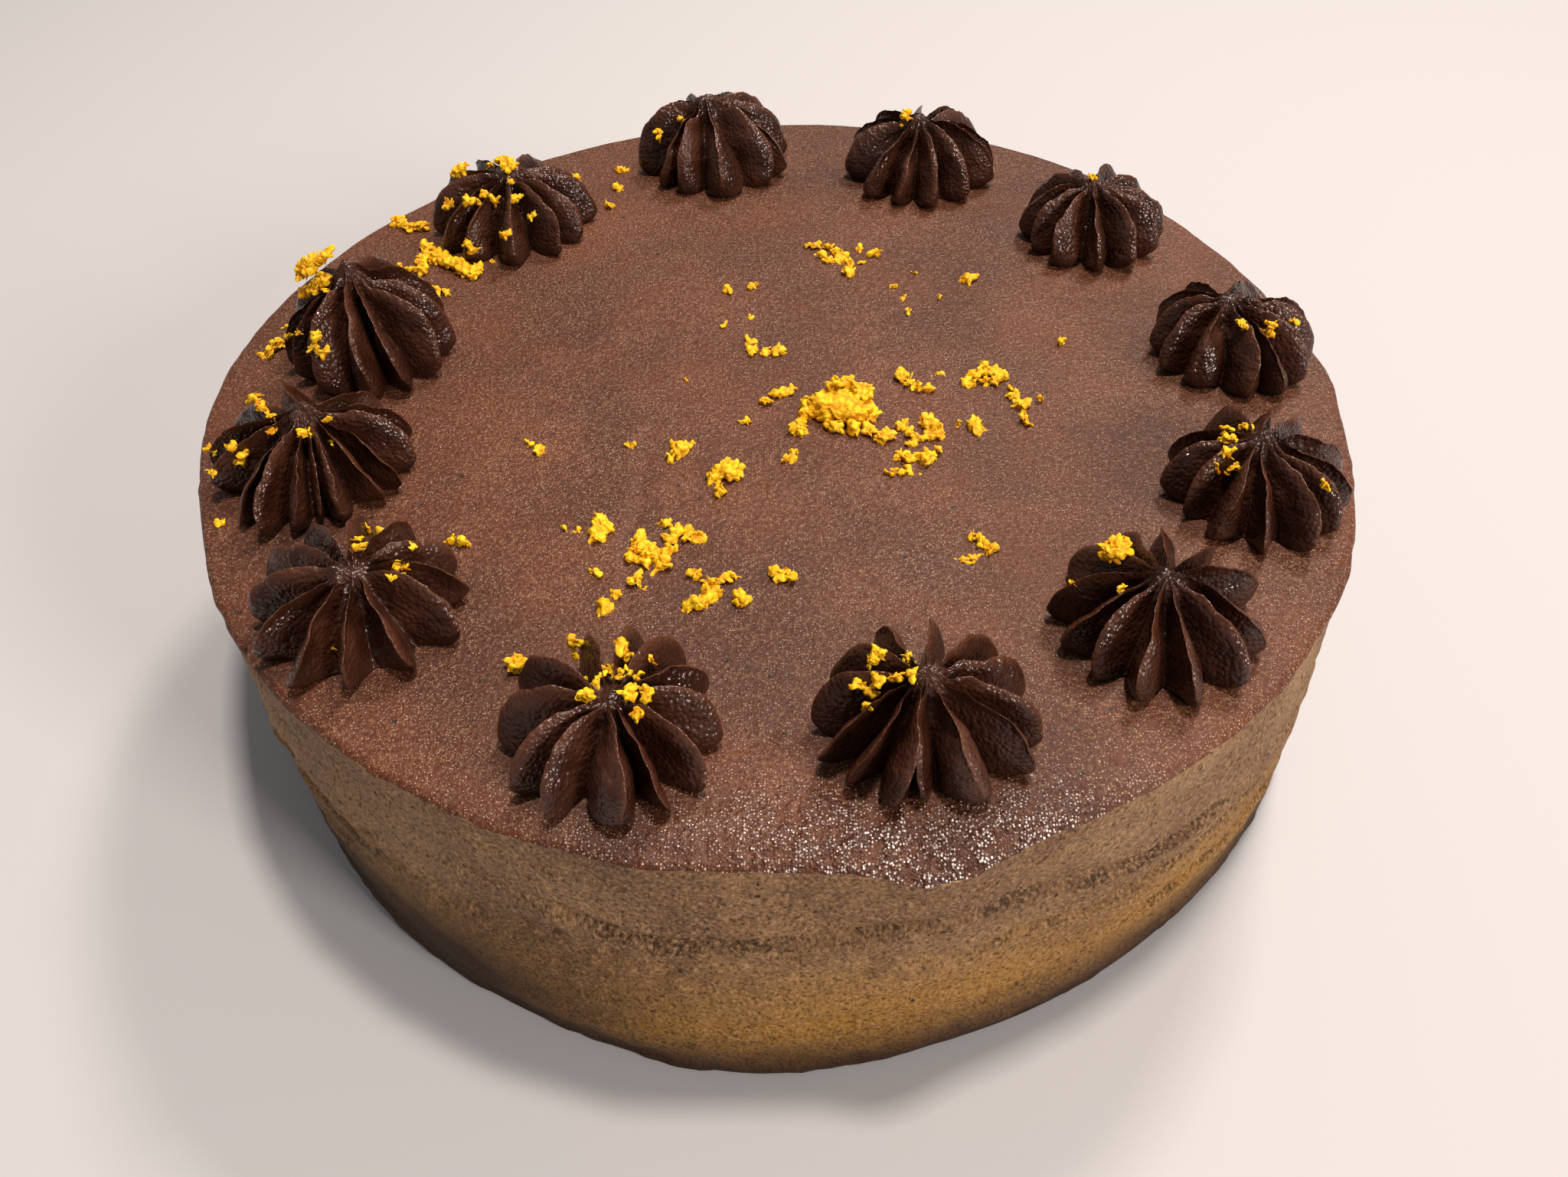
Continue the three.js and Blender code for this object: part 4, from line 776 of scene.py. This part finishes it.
# ---- orange zest ----------------------------------------------------------------------------
def scatter_crumbs(first, last, spread, count, size, pile, draws):
    """Every crumb of a scatter, in the CAD's order of draws."""
    crumbs = []
    for i in range(count):
        along = i / (count - 1) if count > 1 else 0
        crumbs.append(
            dict(
                x=mix(first[0], last[0], along) + draws.around(spread[0]),
                y=mix(first[1], last[1], along) + draws.around(spread[1]),
                size=mix(size[0], size[1], draws.next()),
                lift=mix(pile[0], pile[1], draws.next()),
                turn=draws.next() * 360,
                long=draws.next(),
            )
        )
    return crumbs


def grains(points, size, seed):
    """Distance of each place to the nearest and to the second nearest of a scatter of grains."""
    places = points / size
    base = np.floor(places).astype(np.int64)
    nearest = np.full(len(points), 9.0)
    second = np.full(len(points), 9.0)
    for dx in (-1, 0, 1):
        for dy in (-1, 0, 1):
            for dz in (-1, 0, 1):
                cell = base + np.array([dx, dy, dz])
                grain = [cell[:, a] + 0.5 + 0.42 * lattice(*cell.T, seed + a) for a in range(3)]
                gap = np.sqrt(sum((places[:, a] - grain[a]) ** 2 for a in range(3)))
                second = np.minimum(second, np.maximum(nearest, gap))
                nearest = np.minimum(nearest, gap)
    return nearest, second


def add_lump(bm, place, half_sizes, turn, fineness):
    """One lump of peel: a small ball, squashed and turned."""
    placed = Matrix.Translation(place) @ turn.to_matrix().to_4x4() @ Matrix.Diagonal((*half_sizes, 1))
    bmesh.ops.create_icosphere(bm, subdivisions=fineness, radius=1, matrix=placed)


def crumb_mesh(crumb, surface, draws):
    """A crumb is a torn lump with splinters that stick out of its edge and its top."""
    bm = bmesh.new()
    half = Vector((mix(0.9, 1.25, crumb["long"]), 0.86, 0.62)) * crumb["size"] / 2
    turn = Euler((0, 0, math.radians(crumb["turn"])))
    middle = Vector((crumb["x"], crumb["y"], surface + crumb["lift"] + half.z * (1 - 2 * CRUMB_SUNK)))
    fine = 3 + (crumb["size"] > FINER_OVER) + (crumb["size"] > FINEST_OVER)
    add_lump(bm, middle, half * 0.98, turn, fine)
    for _ in range(round(1 + crumb["size"] * 1.1)):
        around, rise = draws.next() * math.tau, draws.around(0.8)
        ring = math.sqrt(1 - rise * rise)
        offset = Vector((math.cos(around) * ring * half.x, math.sin(around) * ring * half.y, rise * half.z))
        offset.rotate(turn)
        size = mix(0.4, 0.9, draws.next())
        splinter = Vector((size, size * mix(0.4, 0.7, draws.next()), size * mix(0.3, 0.6, draws.next())))
        tumble = Euler([draws.next() * math.tau for _ in range(3)])
        add_lump(bm, middle + offset * 0.9, splinter, tumble, 2)
    mesh = bpy.data.meshes.new("crumb")
    bm.to_mesh(mesh)
    bm.free()
    return mesh


def zest_piece(crumbs, name, seed, material):
    """All the crumbs as one ragged mesh. crumbs: pairs of a crumb and the height it lies on. Each
    vertex keeps how deep it lies between the grains and under its crumb, for the painted shade of
    the peel."""
    bm = bmesh.new()
    draws = Draws(seed)
    middles, counts = [], []
    for crumb, surface in crumbs:
        mesh = crumb_mesh(crumb, surface, draws)
        counts.append(len(mesh.vertices))
        middles.append((crumb["x"], crumb["y"], surface + crumb["lift"] + crumb["size"] * 0.1))
        bm.from_mesh(mesh)
        bpy.data.meshes.remove(mesh)
    places = np.array([v.co[:] for v in bm.verts])
    middle = np.repeat(np.array(middles), counts, axis=0)
    outward = places - middle
    reach = np.linalg.norm(outward, axis=1, keepdims=True)
    outward /= np.maximum(reach, 0.3)
    for axis in range(3):
        for size, amount in ((2.1, 0.7), (0.8, 0.4), (0.4, 0.15)):
            places[:, axis] += noise(places, size, seed + axis + round(size * 10)) * amount
    nearest, second = grains(places, 1.6, seed + 7)
    split = 1 - smooth_step((second - nearest) / 0.32)
    places -= outward * (split * 0.42 + (nearest**2 - 0.25) * 0.5)[:, None]
    nearest, second = grains(places, 0.72, seed)
    crease = 1 - smooth_step((second - nearest) / 0.4)
    bulge = np.sqrt(np.clip(1 - (nearest / 0.85) ** 2, 0, 1)) * 0.3 - 0.14
    places += outward * (bulge - crease * 0.1)[:, None]
    places[:, 2] = np.maximum(places[:, 2], middle[:, 2] - 1.6)
    move_vertices(bm, places)
    piece = finished(bm, name, material)
    # painted shade: a deeper orange in the creases, the splits and under each crumb
    under = smooth_step((middle[:, 2] + 0.1 - places[:, 2]) / 1.1)
    keep_values(piece, "depth", crease * 0.3 + split * 0.55 + under * 0.8)
    return piece


def cake_zest(material):
    draws = Draws(ZEST_SEED)
    crumbs = [c for scatter in CAKE_ZEST for c in scatter_crumbs(*scatter, draws)]
    x, y = np.array([c["x"] for c in crumbs]), np.array([c["y"] for c in crumbs])
    surfaces = CAKE_HEIGHT + top_relief(x, y)
    return zest_piece(list(zip(crumbs, surfaces)), "zest_on_cake", 31, material)


def height_under(rosette, fins, crumb):
    """Height that a crumb rests at on a rosette: between what is under its middle and the highest
    that its edge touches."""
    fin, across, along = np.meshgrid(
        np.arange(len(fins["bearing"])), np.linspace(-1, 1, 17), np.linspace(0, 1, 60), indexing="ij"
    )
    points, _ = fin_points(rosette, fins, fin.ravel(), across.ravel(), along.ravel())
    half = crumb["size"] * CRUMB_REST
    heights = []
    for dx, dy in ((0, 0), (half, 0), (-half, 0), (0, half), (0, -half)):
        nearest = np.argmin(np.hypot(points[:, 0] - crumb["x"] - dx, points[:, 1] - crumb["y"] - dy))
        heights.append(float(points[nearest, 2]))
    return mix(heights[0], max(heights), RESTS_HIGH)


def rosette_zest(material):
    crumbs = []
    for number, rosette in enumerate(ROSETTES, start=1):
        fins = make_fins(number)
        draws = Draws(ZEST_SEED + number)
        for scatter in ROSETTE_ZEST[number]:
            for crumb in scatter_crumbs(*scatter, draws):
                surface = CAKE_HEIGHT + HOVER + height_under(rosette, fins, crumb)
                crumb["x"] += rosette["at"][0]
                crumb["y"] += rosette["at"][1]
                crumbs.append((crumb, surface))
    return zest_piece(crumbs, "zest_on_rosettes", 41, material)


# ---- materials ------------------------------------------------------------------------------
def add(tree, kind, settings=None, **inputs):
    """Adds a node. An input is a value or the output socket of another node; a_b means "A B"."""
    made = tree.nodes.new("ShaderNode" + kind)
    for name, value in (settings or {}).items():
        setattr(made, name, value)
    for name, value in inputs.items():
        key = int(name[1:]) if name[0] == "i" and name[1:].isdigit() else name.replace("_", " ")
        socket = made.inputs[key]
        if isinstance(value, bpy.types.NodeSocket):
            tree.links.new(value, socket)
        else:
            socket.default_value = value
    return made


def per_mm(size):
    """Scale of a pattern whose features are this many millimetres wide."""
    return 1 / (size * MM)


def new_material(name):
    material = bpy.data.materials.new(name)
    material.use_nodes = True
    tree = material.node_tree
    tree.nodes.clear()
    output = tree.nodes.new("ShaderNodeOutputMaterial")
    shader = tree.nodes.new("ShaderNodeBsdfPrincipled")
    tree.links.new(shader.outputs[0], output.inputs[0])
    place = tree.nodes.new("ShaderNodeTexCoord").outputs["Object"]
    return material, tree, shader, place


def ramp(tree, value, low, high, low_to=0.0, high_to=1.0):
    """Stretches a value so that low becomes low_to and high becomes high_to, and stops there."""
    ends = dict(From_Min=low, From_Max=high, To_Min=low_to, To_Max=high_to)
    return add(tree, "MapRange", dict(clamp=True), Value=value, **ends).outputs[0]


def between(tree, value, first, last):
    """From 0 at a first place to 1 at a last one, both in millimetres."""
    return ramp(tree, value, first * MM, last * MM)


def blend(tree, share, a, b):
    made = add(tree, "Mix", dict(data_type="RGBA"), i0=share)
    for socket, colour in ((made.inputs[6], a), (made.inputs[7], b)):
        if isinstance(colour, bpy.types.NodeSocket):
            tree.links.new(colour, socket)
        else:
            socket.default_value = srgb(colour)
    return made.outputs[2]


def times(tree, a, b, operation="MULTIPLY"):
    return add(tree, "Math", dict(operation=operation), i0=a, i1=b).outputs[0]


def chocolate_frosting():
    """Whipped chocolate buttercream: a brown fat with a fine grain, painted darker in its hollows and
    pits (painted shade) and lighter on its peaks (painted light). On top it is damp and darker, with
    light-coloured grains of sugar and painted glints, crowded most of all along the front edge, where
    they are nearly white; the side is scraped to a dull, rough velvet, lighter than the top partly by a
    painted reflection of the bright surroundings, with a painted reflection of a gold board low down,
    painted shade at the foot and low on the left, and painted shade in its torn edges."""
    material, tree, shader, place = new_material("chocolate_frosting")
    split = add(tree, "SeparateXYZ", Vector=place)
    across, depth, high = split.outputs
    edge = add(tree, "TexNoise", Vector=place, Scale=per_mm(3), Detail=2.0).outputs[0]
    side = add(tree, "Attribute", dict(attribute_name="side")).outputs["Fac"]
    on_side = ramp(tree, times(tree, side, times(tree, edge, 0.8), "ADD"), 0.8, 0.95)

    patches = add(tree, "TexNoise", Vector=place, Scale=per_mm(26), Detail=5.0, Roughness=0.55).outputs[0]
    grain = add(tree, "TexNoise", Vector=place, Scale=per_mm(0.62), Detail=3.0, Roughness=0.6).outputs[0]
    coarse = add(tree, "TexNoise", Vector=place, Scale=per_mm(2.6), Detail=3.0, Roughness=0.6).outputs[0]

    on_top = ramp(tree, on_side, 0, 1, 1, 0)
    front = times(tree, between(tree, depth, -83, -95), between(tree, across, -34, 12))
    damp = times(tree, times(tree, front, ramp(tree, coarse, 0.36, 0.54)), on_top)
    # dots of two kinds: light-coloured grains of sugar, and painted glints, nearly white in the damp band
    # along the front edge
    sugar = add(tree, "TexVoronoi", dict(voronoi_dimensions="2D"), Vector=place, Scale=per_mm(0.44))
    lot = add(tree, "SeparateColor", Color=sugar.outputs["Color"])
    crowd = add(tree, "TexNoise", Vector=place, Scale=per_mm(22), Detail=3.0).outputs[0]
    few = times(tree, ramp(tree, crowd, 0.38, 0.60, 0.55, 0.15), ramp(tree, damp, 0, 1, 1.0, 0.6))
    chosen = times(tree, lot.outputs[0], few, "GREATER_THAN")
    size = times(tree, ramp(tree, lot.outputs[1], 0, 1, 0.13, 0.27), times(tree, damp, 0.12), "ADD")
    sugar_and_glint_dot = times(tree, times(tree, sugar.outputs["Distance"], size, "LESS_THAN"), chosen)
    sugar_and_glint_dot = times(tree, sugar_and_glint_dot, on_top)

    # pits, with painted shade in them as well as a dent in the bump
    cells = add(tree, "TexVoronoi", Vector=place, Scale=per_mm(3.4))
    lot_of_pits = add(tree, "SeparateColor", Color=cells.outputs["Color"])
    pit_size = ramp(tree, grain, 0.3, 0.7, 0.03, 0.2)
    pit = times(tree, cells.outputs["Distance"], pit_size, "LESS_THAN")
    pit = times(tree, pit, times(tree, lot_of_pits.outputs[1], 0.62, "GREATER_THAN"))

    top_colour = blend(tree, ramp(tree, patches, 0.36, 0.64), "#462110", "#5a2e17")
    # the side lighter than the top: partly the scraped frosting's own duller tone, partly a painted
    # reflection of the bright surroundings
    side_colour = blend(tree, ramp(tree, patches, 0.36, 0.64), "#6f4f36", "#93704d")
    # painted reflection of a gold board, low on the side
    golden = times(tree, between(tree, high, 37, 16), ramp(tree, patches, 0.38, 0.6, 0.6, 1.0))
    side_colour = blend(tree, times(tree, golden, 0.85), side_colour, "#97691a")
    colour = blend(tree, on_side, top_colour, side_colour)
    # painted shade in the hollows of the grain and in the pits
    grain_shade = times(tree, ramp(tree, grain, 0.47, 0.34), ramp(tree, on_side, 0, 1, 0.5, 0.75))
    colour = blend(tree, times(tree, grain_shade, pit, "MAXIMUM"), colour, "#24120b")
    # painted shade in the torn edges of the scraper
    torn = add(tree, "Attribute", dict(attribute_name="torn")).outputs["Fac"]
    torn_shade = times(tree, torn, ramp(tree, grain, 0.62, 0.4, 0.25, 1.0))
    colour = blend(tree, times(tree, torn_shade, 0.75), colour, "#2a180d")
    # painted light on the peaks of the grain
    grain_light = times(tree, ramp(tree, grain, 0.53, 0.66), ramp(tree, on_side, 0, 1, 0.15, 0.5))
    colour = blend(tree, grain_light, colour, "#bd9a70")
    # painted shade at the foot and low on the left side
    foot = times(tree, between(tree, high, 15, 2), 0.95)
    left = times(tree, between(tree, across, -10, -48), between(tree, high, 33, 12))
    shaded = times(tree, foot, times(tree, left, 0.92), "MAXIMUM")
    colour = blend(tree, times(tree, shaded, on_side), colour, "#2b150a")
    # the dots' colour: sugar grains, and painted glints that are nearly white in the damp band
    sugar_and_glint_colour = blend(tree, damp, "#cdb09a", "#fff5ee")
    share = times(tree, ramp(tree, lot.outputs[2], 0, 1, 0.0, 0.6), times(tree, damp, 0.2), "ADD")
    colour = blend(tree, times(tree, damp, 0.5), colour, "#2c140b")
    colour = blend(tree, times(tree, sugar_and_glint_dot, share), colour, sugar_and_glint_colour)
    tree.links.new(colour, shader.inputs["Base Color"])
    dull = ramp(tree, on_side, 0, 1, 0.5, 0.72)
    rough = times(tree, dull, times(tree, sugar_and_glint_dot, 0.18), "SUBTRACT")
    tree.links.new(times(tree, rough, times(tree, damp, 0.38), "SUBTRACT"), shader.inputs["Roughness"])
    shader.inputs["Specular IOR Level"].default_value = 0.3

    side_grain = times(tree, times(tree, coarse, on_side), 0.9)
    height = times(tree, times(tree, grain, ramp(tree, on_side, 0, 1, 0.4, 0.5)), side_grain, "ADD")
    height = times(tree, height, times(tree, times(tree, coarse, damp), 0.8), "ADD")
    height = times(tree, height, times(tree, pit, 0.6), "SUBTRACT")
    height = times(tree, height, times(tree, sugar_and_glint_dot, 0.25), "ADD")
    bump = add(tree, "Bump", Strength=1.0, Distance=0.8 * MM, Height=height)
    tree.links.new(bump.outputs[0], shader.inputs["Normal"])
    return material


def piped_chocolate():
    """Dark chocolate ganache, piped through a star nozzle: a moist, nearly black skin with fine
    beads that glint, lighter along the crests where it tore: partly drier chocolate, partly a
    painted highlight."""
    material, tree, shader, place = new_material("piped_chocolate")
    patches = add(tree, "TexNoise", Vector=place, Scale=per_mm(7), Detail=4.0).outputs[0]
    colour = blend(tree, ramp(tree, patches, 0.36, 0.66), "#28120b", "#402317")
    crest = add(tree, "Attribute", dict(attribute_name="crest")).outputs["Fac"]
    # lighter along the crests: partly drier chocolate, partly a painted highlight
    colour = blend(tree, times(tree, crest, 0.4), colour, "#6b3f28")
    tree.links.new(colour, shader.inputs["Base Color"])
    tree.links.new(ramp(tree, patches, 0.36, 0.64, 0.14, 0.34), shader.inputs["Roughness"])
    shader.inputs["Specular IOR Level"].default_value = 0.34
    grain = add(tree, "TexNoise", Vector=place, Scale=per_mm(0.6), Detail=2.0).outputs[0]
    beads = add(tree, "TexVoronoi", Vector=place, Scale=per_mm(0.7)).outputs["Distance"]
    waves = add(tree, "TexNoise", Vector=place, Scale=per_mm(2.4), Detail=2.0).outputs[0]
    height = times(tree, times(tree, grain, 0.16), times(tree, waves, 0.45), "ADD")
    height = times(tree, height, times(tree, beads, 0.34), "SUBTRACT")
    bump = add(tree, "Bump", Strength=1.0, Distance=0.6 * MM, Height=height)
    tree.links.new(bump.outputs[0], shader.inputs["Normal"])
    return material


def orange_zest():
    """Grated orange peel: bright golden grains, with painted shade, a deeper orange, between and
    under them where the light has passed through the peel."""
    material, tree, shader, place = new_material("orange_zest")
    depth = add(tree, "Attribute", dict(attribute_name="depth")).outputs["Fac"]
    patches = add(tree, "TexNoise", Vector=place, Scale=per_mm(2.6), Detail=3.0).outputs[0]
    outside = blend(tree, ramp(tree, patches, 0.34, 0.62), "#e8aa0d", "#f5c51b")
    # painted shade: deeper orange in the creases and under the crumbs
    colour = blend(tree, ramp(tree, depth, 0.25, 1.0), outside, "#cf7a08")
    tree.links.new(colour, shader.inputs["Base Color"])
    shader.inputs["Roughness"].default_value = 0.5
    shader.inputs["Specular IOR Level"].default_value = 0.25
    shader.inputs["Subsurface Weight"].default_value = 0.2
    shader.inputs["Subsurface Radius"].default_value = (1.0, 0.7, 0.08)
    shader.inputs["Subsurface Scale"].default_value = 0.6 * MM
    grain = add(tree, "TexNoise", Vector=place, Scale=per_mm(0.38), Detail=2.0).outputs[0]
    bump = add(tree, "Bump", Strength=1.0, Distance=0.2 * MM, Height=grain)
    tree.links.new(bump.outputs[0], shader.inputs["Normal"])
    return material


def plain_floor():
    material, _, shader, _ = new_material("plain_floor")
    shader.inputs["Base Color"].default_value = srgb("#b4b3b5")
    shader.inputs["Roughness"].default_value = 0.8
    shader.inputs["Specular IOR Level"].default_value = 0.2
    return material


# ---- the stage ------------------------------------------------------------------------------
FLOOR_RADIUS = 4000.0
IMAGE_WIDTH = 2048
FOCAL_PIXELS = 1653.5
SENSOR_WIDTH = 36.0
CAMERA_TARGET = Vector((0.5, 4.3, 0.0))
CAMERA_DISTANCE = 272.2
CAMERA_ELEVATION = 46.08
CAMERA_ROLL = -0.80


# The lamps: name, place and size in metres, watts, colour.
LAMPS = (
    ("key", (0.36, 0.62, 1.02), 0.2, 10.5, "#fff1e4"),
    ("lamp", (0.12, 0.04, 1.12), 0.1, 9.5, "#fff3e8"),
    ("fill", (0.8, -0.72, 0.6), 0.3, 11.0, "#fff4ea"),
)
WORLD_LIGHT = 0.31


def make_floor():
    bm = bmesh.new()
    bmesh.ops.create_circle(bm, cap_ends=True, radius=FLOOR_RADIUS * MM, segments=96)
    return finished(bm, "floor", plain_floor())


def make_camera():
    data = bpy.data.cameras.new("camera")
    data.sensor_width = SENSOR_WIDTH
    data.lens = SENSOR_WIDTH * FOCAL_PIXELS / IMAGE_WIDTH
    data.clip_start = 0.01
    camera = bpy.data.objects.new("camera", data)
    bpy.context.scene.collection.objects.link(camera)
    elevation, roll = math.radians(CAMERA_ELEVATION), math.radians(CAMERA_ROLL)
    back = Vector((0, -math.cos(elevation), math.sin(elevation)))
    level = Vector((1, 0, 0))
    up = back.cross(level)
    right = level * math.cos(roll) + up * math.sin(roll)
    top = up * math.cos(roll) - level * math.sin(roll)
    turned = Matrix((right, top, back)).transposed().to_4x4()
    camera.matrix_world = Matrix.Translation((CAMERA_TARGET + back * CAMERA_DISTANCE) * MM) @ turned
    bpy.context.scene.camera = camera


def area_light(name, place, size, power, colour):
    """A soft square light that looks at the cake."""
    data = bpy.data.lights.new(name, "AREA")
    data.shape = "SQUARE"
    data.size = size
    data.energy = power
    data.color = srgb(colour)[:3]
    lamp = bpy.data.objects.new(name, data)
    lamp.location = place
    lamp.rotation_euler = (Vector((0, 0, 0.05)) - Vector(place)).to_track_quat("-Z", "Y").to_euler()
    bpy.context.scene.collection.objects.link(lamp)


def light_scene():
    scene = bpy.context.scene
    scene.view_settings.view_transform = "Standard"
    world = bpy.data.worlds.new("studio")
    scene.world = world
    world.use_nodes = True
    background = world.node_tree.nodes["Background"]
    background.inputs[0].default_value = srgb("#f7f3f2")
    background.inputs[1].default_value = WORLD_LIGHT
    for lamp in LAMPS:
        area_light(*lamp)


# ---- build ----------------------------------------------------------------------------------
floor = make_floor()
make_camera()
light_scene()

frosting = chocolate_frosting()
piping = piped_chocolate()
zest = orange_zest()

cake = frosted_cake(frosting)
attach(cake, "root")
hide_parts("frosted_cake")

for number, rosette in enumerate(ROSETTES, start=1):
    piece = piped_rosette(number, rosette, piping)
    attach(piece, "root")
    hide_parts(f"rosette_{number:02d}")

zest_on_cake = cake_zest(zest)
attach(zest_on_cake, "root")
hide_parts("frosted_cake")

zest_on_rosettes = rosette_zest(zest)
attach(zest_on_rosettes, "root")
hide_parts(*[f"rosette_{number:02d}" for number in range(1, 13)])
